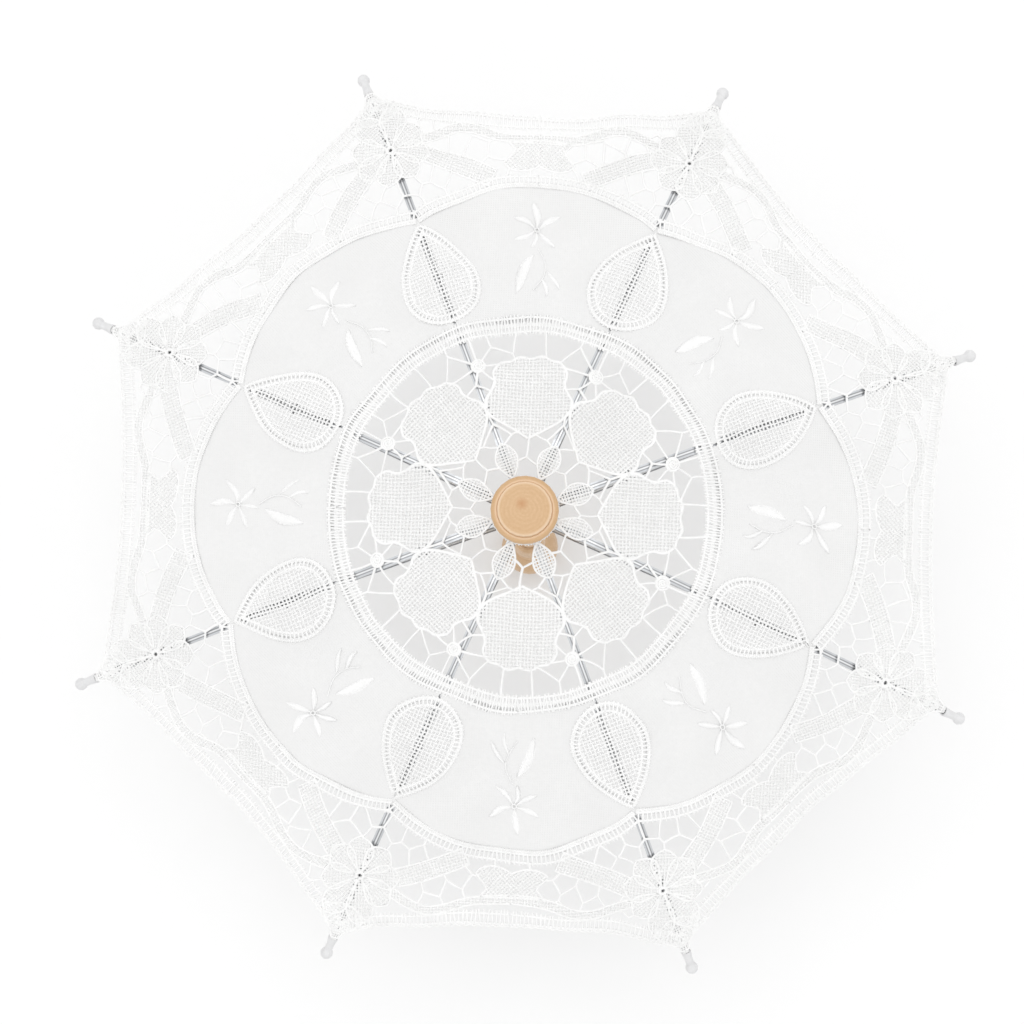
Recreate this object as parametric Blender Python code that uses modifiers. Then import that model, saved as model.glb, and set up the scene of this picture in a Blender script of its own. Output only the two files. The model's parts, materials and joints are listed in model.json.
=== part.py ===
"""Small lace parasol with eight folding ribs, modelled open, at real size in metres.

The frame: +Z runs up the shaft, and the origin is the centre of the handle's flat end.
Each rib turns down about the notch, its stretcher turns back under it, and the runner
slides down the shaft. The stretcher is as long as the rib's inner part, and the notch
and the runner carry their pivots at the same radius, so rib, stretcher and shaft make an
isosceles triangle: when a rib turns by an angle, its stretcher turns back by twice that.

Pieces that repeat around the shaft are built once, in the radial plane through +X, and
placed by turning them about Z. Points in that plane are given as (radius, height).
"""

import math

import bmesh
import bpy
from mathutils import Matrix, Vector

# Layout
RIB_COUNT = 8
GORE_ANGLE = 2 * math.pi / RIB_COUNT
FIRST_RIB_ANGLE = GORE_ANGLE / 2
GAP = 0.0003

# Rib line in its radial plane
PIVOT_RADIUS = 0.0075
RIB_PIVOT_HEIGHT = 0.305
TIP_RADIUS = 0.200
TIP_HEIGHT = 0.242
RIB_SAGITTA = 0.008
JOINT_RADIUS = 0.104
JOINT_DROP = 0.0005

# Rib and stretcher sections
RIB_WIDTH = 0.0030
RIB_DEPTH = 0.0026
RIB_WALL = 0.0004
RIB_BOSS_WIDTH = 0.0032
RIB_EYE_RADIUS = 0.0018
RIB_BOSS_RADIUS = 0.0017
RIB_SHOULDER_RADIUS = 0.1905
RIB_TENON_WIDTH = 0.0016
RIB_TENON_DEPTH = 0.0014
STRETCHER_WIDTH = 0.0017
STRETCHER_DEPTH = 0.0018
STRETCHER_WALL = 0.0003
STRETCHER_BOSS_WIDTH = 0.00185
STRETCHER_EYE_RADIUS = 0.0017
STRETCHER_JOINT_EYE_RADIUS = 0.0011
SOLID_END = 0.0040

# Pivots
WIRE_RADIUS = 0.0005
WIRE_HOLE_RADIUS = 0.00095
RIVET_RADIUS = 0.0004
RIVET_HOLE_RADIUS = 0.0007
RIVET_HEAD_RADIUS = 0.0010
RIVET_HEAD_HEIGHT = 0.0005
HOLE_CUTTER_LENGTH = 0.006

# Rib tips
TIP_BALL_RADIUS = 0.0027
TIP_NECK_RADIUS = 0.0017
TIP_MOUTH_RADIUS = 0.0021
TIP_LENGTH = 0.0085
TIP_BORE_RADIUS = 0.0014
TIP_BORE_END = 0.0018

# Shaft, handle and cap
SHAFT_RADIUS = 0.0040
SHAFT_BOTTOM = 0.020
SHAFT_TOP = 0.3157
BORE_RADIUS = SHAFT_RADIUS + GAP
HANDLE_TOP = 0.079
KNOB_RADIUS = 0.0140
KNOB_MIDDLE = 0.0132
KNOB_FLAT_RADIUS = 0.0080
KNOB_UPPER_HEIGHT = 0.0152
KNOB_UPPER_START = 66
BEAD_MIDDLE_RADIUS = 0.0052
BEAD_WIDTH = 0.0018
BEAD_HEIGHT = 0.0024
BEAD_TO_GRIP = 0.0007
GRIP_END_RADIUS = 0.0056
GRIP_SWELL = 0.0022
GRIP_BOTTOM = 0.0350
GRIP_STEPS = 6
COLLAR_WIDTH = 0.0022
COLLAR_BELOW_GRIP = 0.0030
CAP_BOTTOM = 0.3079
CAP_TOP = 0.3185
CAP_RADIUS = 0.0137
CAP_DISC_RADIUS = 0.0109
CAP_RECESS_RADIUS = 0.0103
CAP_BASE_HEIGHT = 0.0062
CAP_EDGE = 0.0011
CAP_DISC_DISH = 0.0003
CAP_DISC_FALL = 0.0005
CAP_GROOVE_FLARE = 0.0001
CAP_GROOVE_DEPTH = 0.0004

# Notch and runner
NOTCH_BOTTOM = 0.3010
NOTCH_TOP = 0.3084
NOTCH_RADIUS = 0.0094
NOTCH_SLOT_TOP = 0.3071
NOTCH_SLOT_WIDTH = 0.0039
RUNNER_RADIUS = 0.0096
RUNNER_SLEEVE_RADIUS = 0.0062
RUNNER_BORE_RADIUS = 0.00435
RUNNER_SLOT_WIDTH = 0.0025
RUNNER_COLLAR_BELOW_PIVOT = 0.0042
RUNNER_COLLAR_ABOVE_PIVOT = 0.0026
RUNNER_SLOT_BELOW_PIVOT = 0.0032
RUNNER_LENGTH_BELOW_PIVOT = 0.0266
RUNNER_FILLET = 0.0012
RUNNER_BEAD_START = 0.0028
RUNNER_BEAD_TOP = 0.0020
COLLAR_EDGE = 0.0005
SLOT_INNER_RADIUS = 0.0055
GROOVE_INNER_RADIUS = 0.0067
GROOVE_HEIGHT = 0.0016

# Spring catch and cross pins
CATCH_BELOW_RUNNER = 0.0200
CATCH_THICKNESS = 0.0014
CATCH_EYE_RADIUS = 0.0019
CATCH_REACH = 0.0066
CATCH_SLOT_WIDTH = 0.0020
CATCH_SLOT_BACK = 0.0026
CATCH_SLOT_IN_RUNNER = 0.0018
CATCH_ARM_FRONT = ((0.0025, 0.0085), (0.0042, 0.0120))
CATCH_FACE_BOTTOM = 0.0018
CATCH_FACE_TOP = 0.0008
CATCH_SHOULDER_RADII = (0.0024, 0.0009)
CATCH_ARM_BACK = (-0.0004, 0.0100)
PIN_RADIUS = 0.0006
PIN_LENGTH = 0.0072
STOP_PIN_RADIUS = 0.00075
STOP_PIN_LENGTH = 0.0115
STOP_PIN_ABOVE_RUNNER = 0.0053

# Canopy
CLOTH_THICKNESS = 0.0007
CLOTH_LIFT = 0.0024
CANOPY_INNER_RADIUS = 0.0107
CANOPY_CORNER_RADIUS = 0.190
CANOPY_MID_EDGE = 0.170
GORE_SAG = 0.00645
PANEL_HINGE_LIFT = 0.0094
PANEL_ROWS = 8
PANEL_COLUMNS = 3

ROUND_STEPS = 24
PIN_STEPS = 12
ARC_STEPS = 8


# ------------------------------------------------------------ geometry of the linkage

def rib_arc():
    """Centre, radius, end slopes and chord slope of the arc along the middle of a rib."""
    run = TIP_RADIUS - PIVOT_RADIUS
    drop = RIB_PIVOT_HEIGHT - TIP_HEIGHT
    chord = math.hypot(run, drop)
    slope = math.atan2(drop, run)
    radius = chord ** 2 / (8 * RIB_SAGITTA) + RIB_SAGITTA / 2
    half = math.asin(chord / 2 / radius)
    centre = Vector((PIVOT_RADIUS - radius * math.sin(slope - half),
                     RIB_PIVOT_HEIGHT - radius * math.cos(slope - half)))
    return centre, radius, slope - half, slope + half, slope


ARC_CENTRE, ARC_RADIUS, ARC_START, ARC_END, CHORD_SLOPE = rib_arc()


def arc_point(slope, offset=0.0):
    """Point where the rib slopes down by an angle, offset outwards from its middle."""
    reach = ARC_RADIUS + offset
    return ARC_CENTRE + reach * Vector((math.sin(slope), math.cos(slope)))


def slope_at(radius, offset=0.0):
    """Downward slope of the rib line at a distance from the shaft's axis."""
    return math.asin((radius - ARC_CENTRE.x) / (ARC_RADIUS + offset))


RIB_PIVOT = Vector((PIVOT_RADIUS, RIB_PIVOT_HEIGHT))
RIB_JOINT = arc_point(slope_at(JOINT_RADIUS, -JOINT_DROP), -JOINT_DROP)
RUNNER_PIVOT = Vector((PIVOT_RADIUS, 2 * RIB_JOINT.y - RIB_PIVOT_HEIGHT))
RIB_TIP = Vector((TIP_RADIUS, TIP_HEIGHT))
RUNNER_BOTTOM = RUNNER_PIVOT.y - RUNNER_LENGTH_BELOW_PIVOT
CATCH_PIVOT = Vector((0.0, RUNNER_BOTTOM - CATCH_BELOW_RUNNER))
STOP_PIN = Vector((0.0, RUNNER_PIVOT.y + STOP_PIN_ABOVE_RUNNER))


# ------------------------------------------------------------ scene helpers

def clear_scene():
    for existing in list(bpy.data.objects):
        bpy.data.objects.remove(existing, do_unlink=True)


def new_collection(name):
    collection = bpy.data.collections.new(name)
    bpy.context.scene.collection.children.link(collection)
    return collection


def make_material(name, colour, roughness, metallic=0.0):
    material = bpy.data.materials.new(name)
    material.use_nodes = True
    shader = material.node_tree.nodes["Principled BSDF"]
    shader.inputs["Base Color"].default_value = (*colour, 1.0)
    shader.inputs["Roughness"].default_value = roughness
    shader.inputs["Metallic"].default_value = metallic
    return material


def add_object(name, data, collection, material=None):
    item = bpy.data.objects.new(name, data)
    collection.objects.link(item)
    if material:
        data.materials.clear()
        data.materials.append(material)
    return item


def add_helper(name, data):
    """A cutter or a raw shape, which isn't a piece of the object."""
    helper = add_object(name, data, HELPERS)
    helper.hide_render = True
    helper.display_type = "WIRE"
    return helper


def mesh_from(name, work):
    mesh = bpy.data.meshes.new(name)
    work.to_mesh(mesh)
    work.free()
    return mesh


def smooth(mesh):
    mesh.shade_smooth()
    mesh.set_sharp_from_angle(angle=math.radians(35))


def used_up(item):
    """The closed world-space mesh that an object evaluates to; the object is removed."""
    bpy.context.view_layer.update()
    graph = bpy.context.evaluated_depsgraph_get()
    mesh = bpy.data.meshes.new_from_object(item.evaluated_get(graph))
    mesh.transform(item.matrix_world)
    work = bmesh.new()
    work.from_mesh(mesh)
    bmesh.ops.remove_doubles(work, verts=work.verts, dist=1e-6)
    work.to_mesh(mesh)
    work.free()
    bpy.data.objects.remove(item, do_unlink=True)
    return mesh


def outline_solid(name, points, width):
    """A flat plate from an outline in the radial plane, half its width to either side."""
    curve = bpy.data.curves.new(name, "CURVE")
    curve.dimensions = "2D"
    curve.fill_mode = "BOTH"
    curve.extrude = width / 2
    spline = curve.splines.new("POLY")
    spline.points.add(len(points) - 1)
    for point, (across, up) in zip(spline.points, points):
        point.co = (across, up, 0.0, 1.0)
    spline.use_cyclic_u = True
    plate = add_helper(name, curve)
    plate.rotation_euler.x = math.pi / 2
    return add_helper(name, used_up(plate))


def cross_cylinder(name, centre, radius, length):
    """A cylinder that crosses the radial plane at a point."""
    work = bmesh.new()
    turn = Matrix.Rotation(math.pi / 2, 4, "X")
    place = Matrix.Translation((centre.x, 0.0, centre.y)) @ turn
    bmesh.ops.create_cone(work, cap_ends=True, segments=PIN_STEPS, radius1=radius,
                          radius2=radius, depth=length, matrix=place)
    return add_helper(name, mesh_from(name, work))


def box(name, low, high, turn=0.0):
    """A box between two corners, turned about Z."""
    low, high = Vector(low), Vector(high)
    work = bmesh.new()
    shape = Matrix.LocRotScale((low + high) / 2, None, high - low)
    bmesh.ops.create_cube(work, size=1.0, matrix=Matrix.Rotation(turn, 4, "Z") @ shape)
    return add_helper(name, mesh_from(name, work))


def add_boolean(item, other, operation):
    step = item.modifiers.new(f"{operation.lower()} {other.name}", "BOOLEAN")
    step.operation = operation
    step.object = other


def combine(base, added, removed):
    """The mesh of a helper joined with some helpers and cut by others."""
    for other in added:
        add_boolean(base, other, "UNION")
    for other in removed:
        add_boolean(base, other, "DIFFERENCE")
    mesh = used_up(base)
    for helper in (*added, *removed):
        bpy.data.objects.remove(helper, do_unlink=True)
    return mesh


def move_origin(mesh, point):
    """Make a point of the radial plane the origin of a mesh."""
    mesh.transform(Matrix.Translation((-point.x, 0.0, -point.y)))


def turned(name, profile, collection, material=None, steps=ROUND_STEPS):
    """A solid of revolution about Z. Its profile runs down the outer side.

    A profile that starts off the axis is a ring, and closes from its last point.
    """
    work = bmesh.new()
    points = [work.verts.new((radius, 0.0, height)) for radius, height in profile]
    for first, second in zip(points, points[1:]):
        work.edges.new((first, second))
    if profile[0][0] > 0:
        work.edges.new((points[-1], points[0]))
    item = add_object(name, mesh_from(name, work), collection, material)
    screw = item.modifiers.new("turn", "SCREW")
    screw.steps = steps
    screw.render_steps = steps
    screw.use_merge_vertices = True
    screw.merge_threshold = 1e-5
    screw.use_smooth_shade = True
    return item


def rounded(start, end, centre, across, up, steps=4):
    """An elliptic stretch of a profile about a centre, between two angles in degrees."""
    angles = [math.radians(start + (end - start) * step / steps) for step in range(steps + 1)]
    return [(centre[0] + across * math.cos(angle), centre[1] + up * math.sin(angle))
            for angle in angles]


def rib_angle(index):
    return FIRST_RIB_ANGLE + index * GORE_ANGLE


def radial_position(point, angle):
    """World position of a radial-plane point, with that plane turned about the shaft."""
    return Vector((point.x * math.cos(angle), point.x * math.sin(angle), point.y))


def place_copies(stem, mesh, origin, material):
    """One piece for each rib, sharing a mesh whose origin is a point of the radial plane."""
    for index in range(RIB_COUNT):
        copy = add_object(f"{stem}_{index + 1}", mesh, PARTS, material)
        copy.location = radial_position(origin, rib_angle(index))
        copy.rotation_euler.z = rib_angle(index)


# ------------------------------------------------------------ ribs and their joints

def curved_band(start, end, lower, upper):
    """Outline of the strip between two offsets of the rib line."""
    slopes = [start + (end - start) * step / ARC_STEPS for step in range(ARC_STEPS + 1)]
    top = [arc_point(slope, upper) for slope in slopes]
    bottom = [arc_point(slope, lower) for slope in reversed(slopes)]
    return top + bottom


def rib_mesh():
    """A channel, open below, with a pivot eye, a joint boss and a tenon for the tip."""
    shoulder = slope_at(RIB_SHOULDER_RADIUS)
    solid = SOLID_END / ARC_RADIUS
    tenon_end = ARC_END - (TIP_BORE_END + GAP) / ARC_RADIUS
    half = RIB_DEPTH / 2
    tenon_half = RIB_TENON_DEPTH / 2
    body = outline_solid("body", curved_band(ARC_START, shoulder, -half, half), RIB_WIDTH)
    added = [
        outline_solid("tenon", curved_band(shoulder - solid / 2, tenon_end,
                                           -tenon_half, tenon_half), RIB_TENON_WIDTH),
        cross_cylinder("eye", RIB_PIVOT, RIB_EYE_RADIUS, RIB_BOSS_WIDTH),
        cross_cylinder("boss", RIB_JOINT, RIB_BOSS_RADIUS, RIB_BOSS_WIDTH),
    ]
    removed = [
        outline_solid("channel", curved_band(ARC_START + solid, shoulder - solid,
                                             -2 * RIB_DEPTH, half - RIB_WALL),
                      RIB_WIDTH - 2 * RIB_WALL),
        cross_cylinder("wire hole", RIB_PIVOT, WIRE_HOLE_RADIUS, HOLE_CUTTER_LENGTH),
        cross_cylinder("rivet hole", RIB_JOINT, RIVET_HOLE_RADIUS, HOLE_CUTTER_LENGTH),
    ]
    mesh = combine(body, added, removed)
    move_origin(mesh, RIB_PIVOT)
    smooth(mesh)
    return mesh


def straight_band(start, end, lower, upper):
    """Outline of the strip between two offsets of a straight line."""
    along = (end - start).normalized()
    across = Vector((-along.y, along.x))
    return [start + across * upper, end + across * upper,
            end + across * lower, start + across * lower]


def stretcher_mesh():
    """A straight channel from the runner's wire up to the rivet under the rib."""
    half = STRETCHER_DEPTH / 2
    inset = (RIB_JOINT - RUNNER_PIVOT).normalized() * SOLID_END
    body = outline_solid("body", straight_band(RUNNER_PIVOT, RIB_JOINT, -half, half),
                         STRETCHER_WIDTH)
    added = [
        cross_cylinder("wire eye", RUNNER_PIVOT, STRETCHER_EYE_RADIUS, STRETCHER_BOSS_WIDTH),
        cross_cylinder("rivet eye", RIB_JOINT, STRETCHER_JOINT_EYE_RADIUS,
                       STRETCHER_BOSS_WIDTH),
    ]
    removed = [
        outline_solid("channel", straight_band(RUNNER_PIVOT + inset, RIB_JOINT - inset,
                                               -STRETCHER_DEPTH, half - STRETCHER_WALL),
                      STRETCHER_WIDTH - 2 * STRETCHER_WALL),
        cross_cylinder("wire hole", RUNNER_PIVOT, WIRE_HOLE_RADIUS, HOLE_CUTTER_LENGTH),
        cross_cylinder("rivet hole", RIB_JOINT, RIVET_HOLE_RADIUS, HOLE_CUTTER_LENGTH),
    ]
    mesh = combine(body, added, removed)
    move_origin(mesh, RIB_JOINT)
    smooth(mesh)
    return mesh


def rivet_mesh():
    """A rivet across the radial plane, with a flat head just off each side of the rib."""
    inner = RIB_BOSS_WIDTH / 2 + GAP
    outer = inner + RIVET_HEAD_HEIGHT
    end = [(0.0, outer), (0.7 * RIVET_HEAD_RADIUS, outer), (RIVET_HEAD_RADIUS, inner),
           (RIVET_RADIUS, inner)]
    profile = end + [(radius, -height) for radius, height in reversed(end)]
    mesh = used_up(turned("rivet", profile, HELPERS, steps=PIN_STEPS))
    mesh.transform(Matrix.Rotation(math.pi / 2, 4, "X"))
    smooth(mesh)
    return mesh


def tip_mesh():
    """A moulded ball on a tapered neck, bored for the rib's tenon, lying along the rib."""
    neck_angle = math.degrees(math.acos(TIP_NECK_RADIUS / TIP_BALL_RADIUS))
    ball = rounded(90, -neck_angle, (0.0, 0.0), TIP_BALL_RADIUS, TIP_BALL_RADIUS, steps=5)
    ball[0] = (0.0, TIP_BALL_RADIUS)
    neck = [(TIP_NECK_RADIUS, -0.55 * TIP_LENGTH), (TIP_MOUTH_RADIUS, -0.92 * TIP_LENGTH),
            (TIP_MOUTH_RADIUS, -TIP_LENGTH), (TIP_BORE_RADIUS, -TIP_LENGTH),
            (TIP_BORE_RADIUS, -TIP_BORE_END), (0.0, -TIP_BORE_END)]
    mesh = used_up(turned("tip", ball + neck, HELPERS, steps=PIN_STEPS))
    mesh.transform(Matrix.Rotation(math.pi / 2 + ARC_END, 4, "Y"))
    smooth(mesh)
    return mesh


def build_ribs():
    place_copies("rib", rib_mesh(), RIB_PIVOT, STEEL)
    place_copies("stretcher", stretcher_mesh(), RIB_JOINT, STEEL)
    place_copies("joint_rivet", rivet_mesh(), RIB_JOINT, STEEL)
    place_copies("rib_tip", tip_mesh(), RIB_TIP, TIP_PLASTIC)


# ------------------------------------------------------------ shaft, handle and cap

def build_handle():
    """A turned grip over a round knob that is flat at its end, bored for the shaft."""
    bore = [(0.0, SHAFT_BOTTOM - GAP), (BORE_RADIUS, SHAFT_BOTTOM - GAP),
            (BORE_RADIUS, HANDLE_TOP)]
    top_bead = rounded(90, -90, (BEAD_MIDDLE_RADIUS, HANDLE_TOP - BEAD_HEIGHT), BEAD_WIDTH,
                       BEAD_HEIGHT)
    grip_top = HANDLE_TOP - 2 * BEAD_HEIGHT - BEAD_TO_GRIP
    grip = [(GRIP_END_RADIUS + GRIP_SWELL * math.sin(math.pi * step / GRIP_STEPS) ** 1.5,
             grip_top + (GRIP_BOTTOM - grip_top) * step / GRIP_STEPS)
            for step in range(GRIP_STEPS + 1)]
    collar = rounded(90, -90, (GRIP_END_RADIUS, GRIP_BOTTOM - COLLAR_BELOW_GRIP), COLLAR_WIDTH,
                     BEAD_HEIGHT)
    upper_knob = rounded(KNOB_UPPER_START, 0, (0.0, KNOB_MIDDLE), KNOB_RADIUS,
                         KNOB_UPPER_HEIGHT, steps=6)
    flat_turn = math.acos(KNOB_FLAT_RADIUS / KNOB_RADIUS)
    lower_knob = rounded(0, -math.degrees(flat_turn), (0.0, KNOB_MIDDLE), KNOB_RADIUS,
                         KNOB_MIDDLE / math.sin(flat_turn))
    profile = bore + top_bead + grip + collar + upper_knob + lower_knob[1:] + [(0.0, 0.0)]
    turned("handle", profile, PARTS, HANDLE_WOOD)


def build_cap():
    """A turned disc on a wider base, hollow below for the notch and the shaft's end."""
    edge, shoulder = CAP_EDGE, 2 * CAP_EDGE
    base_top = CAP_BOTTOM + CAP_BASE_HEIGHT
    disc_edge = (CAP_DISC_RADIUS - edge, CAP_TOP - CAP_DISC_FALL - edge)
    profile = [(0.0, CAP_TOP), (0.7 * CAP_DISC_RADIUS, CAP_TOP - CAP_DISC_DISH)]
    profile += rounded(80, 0, disc_edge, edge, edge, 3)
    profile += [(CAP_DISC_RADIUS + CAP_GROOVE_FLARE, base_top - CAP_GROOVE_DEPTH)]
    profile += rounded(90, 0, (CAP_RADIUS - shoulder, base_top - shoulder), shoulder, shoulder)
    profile += rounded(0, -90, (CAP_RADIUS - edge, CAP_BOTTOM + edge), edge, edge, 3)
    recess_top = NOTCH_TOP + GAP
    profile += [(CAP_RECESS_RADIUS, CAP_BOTTOM), (CAP_RECESS_RADIUS, recess_top),
                (BORE_RADIUS, recess_top), (BORE_RADIUS, SHAFT_TOP + GAP),
                (0.0, SHAFT_TOP + GAP)]
    turned("cap", profile, PARTS, CAP_WOOD)


def build_shaft():
    """A plain rod, slotted on the +X side for the catch and drilled for two cross pins."""
    work = bmesh.new()
    middle = (SHAFT_BOTTOM + SHAFT_TOP) / 2
    bmesh.ops.create_cone(work, cap_ends=True, segments=ROUND_STEPS, radius1=SHAFT_RADIUS,
                          radius2=SHAFT_RADIUS, depth=SHAFT_TOP - SHAFT_BOTTOM,
                          matrix=Matrix.Translation((0.0, 0.0, middle)))
    blank = add_helper("blank", mesh_from("blank", work))
    half = CATCH_SLOT_WIDTH / 2
    slot = box("slot", (-CATCH_SLOT_BACK, -half, CATCH_PIVOT.y - CATCH_EYE_RADIUS - 2 * GAP),
               (2 * SHAFT_RADIUS, half, RUNNER_BOTTOM + CATCH_SLOT_IN_RUNNER))
    pin_hole = cross_cylinder("pin hole", CATCH_PIVOT, PIN_RADIUS + GAP, 3 * SHAFT_RADIUS)
    stop_hole = cross_cylinder("stop hole", STOP_PIN, STOP_PIN_RADIUS + GAP,
                               3 * SHAFT_RADIUS)
    mesh = combine(blank, (), (slot, pin_hole, stop_hole))
    smooth(mesh)
    add_object("shaft", mesh, PARTS, SHAFT_WOOD)


# ------------------------------------------------------------ notch, runner and wires

def radial_slots(width, inner, low, high):
    """Box cutters open to the outside, one for each rib."""
    return [box(f"slot {index}", (inner, -width / 2, low), (2 * RUNNER_RADIUS, width / 2, high),
                rib_angle(index))
            for index in range(RIB_COUNT)]


def wire_groove(height):
    """A ring cutter for the wire, open to the outside, at the height of the pivots."""
    outer = 2 * RUNNER_RADIUS
    low, high = height - GROOVE_HEIGHT / 2, height + GROOVE_HEIGHT / 2
    profile = [(GROOVE_INNER_RADIUS, high), (outer, high), (outer, low),
               (GROOVE_INNER_RADIUS, low)]
    return add_helper("groove", used_up(turned("ring", profile, HELPERS)))


def build_notch():
    """The crown under the cap: a closed plate over eight slots that hold the rib eyes."""
    edge = COLLAR_EDGE
    profile = [(BORE_RADIUS, NOTCH_TOP), (NOTCH_RADIUS - edge, NOTCH_TOP),
               (NOTCH_RADIUS, NOTCH_TOP - edge), (NOTCH_RADIUS, NOTCH_BOTTOM + edge),
               (NOTCH_RADIUS - edge, NOTCH_BOTTOM), (BORE_RADIUS, NOTCH_BOTTOM)]
    blank = add_helper("blank", used_up(turned("crown", profile, HELPERS)))
    slots = radial_slots(NOTCH_SLOT_WIDTH, SLOT_INNER_RADIUS - GAP / 3,
                         NOTCH_BOTTOM - RIB_DEPTH, NOTCH_SLOT_TOP)
    mesh = combine(blank, (), [wire_groove(RIB_PIVOT.y), *slots])
    smooth(mesh)
    add_object("notch", mesh, PARTS, MOULDED_PLASTIC)


def build_runner():
    """A sleeve with a slotted collar for the stretchers' eyes, on its joint's empty."""
    edge = COLLAR_EDGE
    top = RUNNER_PIVOT.y + RUNNER_COLLAR_ABOVE_PIVOT
    collar_bottom = RUNNER_PIVOT.y - RUNNER_COLLAR_BELOW_PIVOT
    outer, sleeve = RUNNER_RADIUS, RUNNER_SLEEVE_RADIUS
    profile = [(RUNNER_BORE_RADIUS, top), (outer - edge, top), (outer, top - edge),
               (outer, collar_bottom + edge), (outer - edge, collar_bottom),
               (sleeve, collar_bottom - RUNNER_FILLET), (sleeve, RUNNER_BOTTOM + RUNNER_BEAD_START),
               (sleeve + edge, RUNNER_BOTTOM + RUNNER_BEAD_TOP),
               (sleeve + edge, RUNNER_BOTTOM + edge),
               (sleeve, RUNNER_BOTTOM), (RUNNER_BORE_RADIUS, RUNNER_BOTTOM)]
    blank = add_helper("blank", used_up(turned("sleeve", profile, HELPERS)))
    slots = radial_slots(RUNNER_SLOT_WIDTH, SLOT_INNER_RADIUS,
                         RUNNER_PIVOT.y - RUNNER_SLOT_BELOW_PIVOT, top + RIB_DEPTH)
    mesh = combine(blank, (), [wire_groove(RUNNER_PIVOT.y), *slots])
    smooth(mesh)
    pivot = radial_position(RUNNER_PIVOT, rib_angle(0))
    mesh.transform(Matrix.Translation(-pivot))
    hinge = add_object("runner_pivot", None, PARTS)
    hinge.location = pivot
    add_object("runner", mesh, PARTS, MOULDED_PLASTIC).parent = hinge
    add_wire("runner_wire", RUNNER_PIVOT.y, hinge)


def add_wire(name, height, hinge=None):
    """A closed ring of wire through the pivot eyes, on the empty of the joint that moves it."""
    bpy.ops.mesh.primitive_torus_add(major_radius=PIVOT_RADIUS, minor_radius=WIRE_RADIUS,
                                     major_segments=ROUND_STEPS, minor_segments=6)
    ring = bpy.context.active_object
    mesh = ring.data
    bpy.data.objects.remove(ring, do_unlink=True)
    smooth(mesh)
    wire = add_object(name, mesh, PARTS, STEEL)
    wire.location.z = height
    if hinge:
        wire.parent = hinge
        wire.location = Vector((0.0, 0.0, height)) - hinge.location


# ------------------------------------------------------------ spring catch and pins

def build_catch():
    """A thumb catch in the shaft's slot, whose sloping shoulder holds up the runner."""
    shoulder = CATCH_BELOW_RUNNER - GAP
    eye = rounded(180, 360, (0.0, 0.0), CATCH_EYE_RADIUS, CATCH_EYE_RADIUS, steps=6)
    arm = [*CATCH_ARM_FRONT, (CATCH_REACH, shoulder - CATCH_FACE_BOTTOM),
           (CATCH_REACH, shoulder - CATCH_FACE_TOP),
           *((radius, shoulder) for radius in CATCH_SHOULDER_RADII), CATCH_ARM_BACK]
    body = outline_solid("lever", eye + arm, CATCH_THICKNESS)
    hole = cross_cylinder("pin hole", Vector((0.0, 0.0)), PIN_RADIUS + GAP, HOLE_CUTTER_LENGTH)
    mesh = combine(body, (), (hole,))
    smooth(mesh)
    add_object("spring_catch", mesh, PARTS, STEEL).location.z = CATCH_PIVOT.y


def add_cross_pin(name, centre, radius, length):
    pin = cross_cylinder(name, centre, radius, length)
    mesh = used_up(pin)
    smooth(mesh)
    add_object(name, mesh, PARTS, STEEL)


def build_pins():
    add_cross_pin("catch_pin", CATCH_PIVOT, PIN_RADIUS, PIN_LENGTH)
    add_cross_pin("runner_stop_pin", STOP_PIN, STOP_PIN_RADIUS, STOP_PIN_LENGTH)


# ------------------------------------------------------------ canopy

def cloth_point(share, across):
    """A point of the cloth: a share of the way out, and of the way from gore middle to rib.

    The cloth runs level across a gore from rib to rib, and sags below that between the
    ribs. It is given in the radial plane's frame of a rib, with +Y towards the gore.
    """
    half_gore = GORE_ANGLE / 2
    corner = CANOPY_CORNER_RADIUS * math.cos(half_gore)
    inner = CANOPY_INNER_RADIUS * math.cos(half_gore)
    edge = CANOPY_MID_EDGE + (corner - CANOPY_MID_EDGE) * across ** 2
    reach = inner + (edge - inner) * share
    line_radius = reach / math.cos(half_gore)
    sag = GORE_SAG * math.sin(math.pi * share) * (1 - across ** 2) ** 2
    height = arc_point(slope_at(line_radius, CLOTH_LIFT), CLOTH_LIFT).y - sag
    middle = Vector((reach, -reach * math.tan(half_gore) * across, height))
    return Matrix.Rotation(half_gore, 3, "Z") @ middle


def panel_mesh(side):
    """Half a gore of cloth beside a rib, as an open sheet; side is +1 anticlockwise."""
    work = bmesh.new()
    seam = Vector((0.0, GAP / 2, 0.0))
    far_seam = Matrix.Rotation(GORE_ANGLE / 2, 3, "Z") @ seam
    grid = []
    for row in range(PANEL_ROWS + 1):
        points = []
        for column in range(PANEL_COLUMNS + 1):
            across = column / PANEL_COLUMNS
            point = cloth_point(row / PANEL_ROWS, across)
            point += seam * across - far_seam * (1 - across)
            points.append(work.verts.new((point.x, side * point.y, point.z)))
        grid.append(points)
    for near, far in zip(grid, grid[1:]):
        for first, second, third, fourth in zip(near, near[1:], far[1:], far):
            corners = (first, second, third, fourth)
            work.faces.new(corners if side < 0 else reversed(corners))
    mesh = mesh_from("canopy panel", work)
    hinge = RIB_PIVOT + PANEL_HINGE_LIFT * Vector((math.sin(CHORD_SLOPE),
                                                   math.cos(CHORD_SLOPE)))
    move_origin(mesh, hinge)
    mesh.shade_smooth()
    return mesh, hinge


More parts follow.
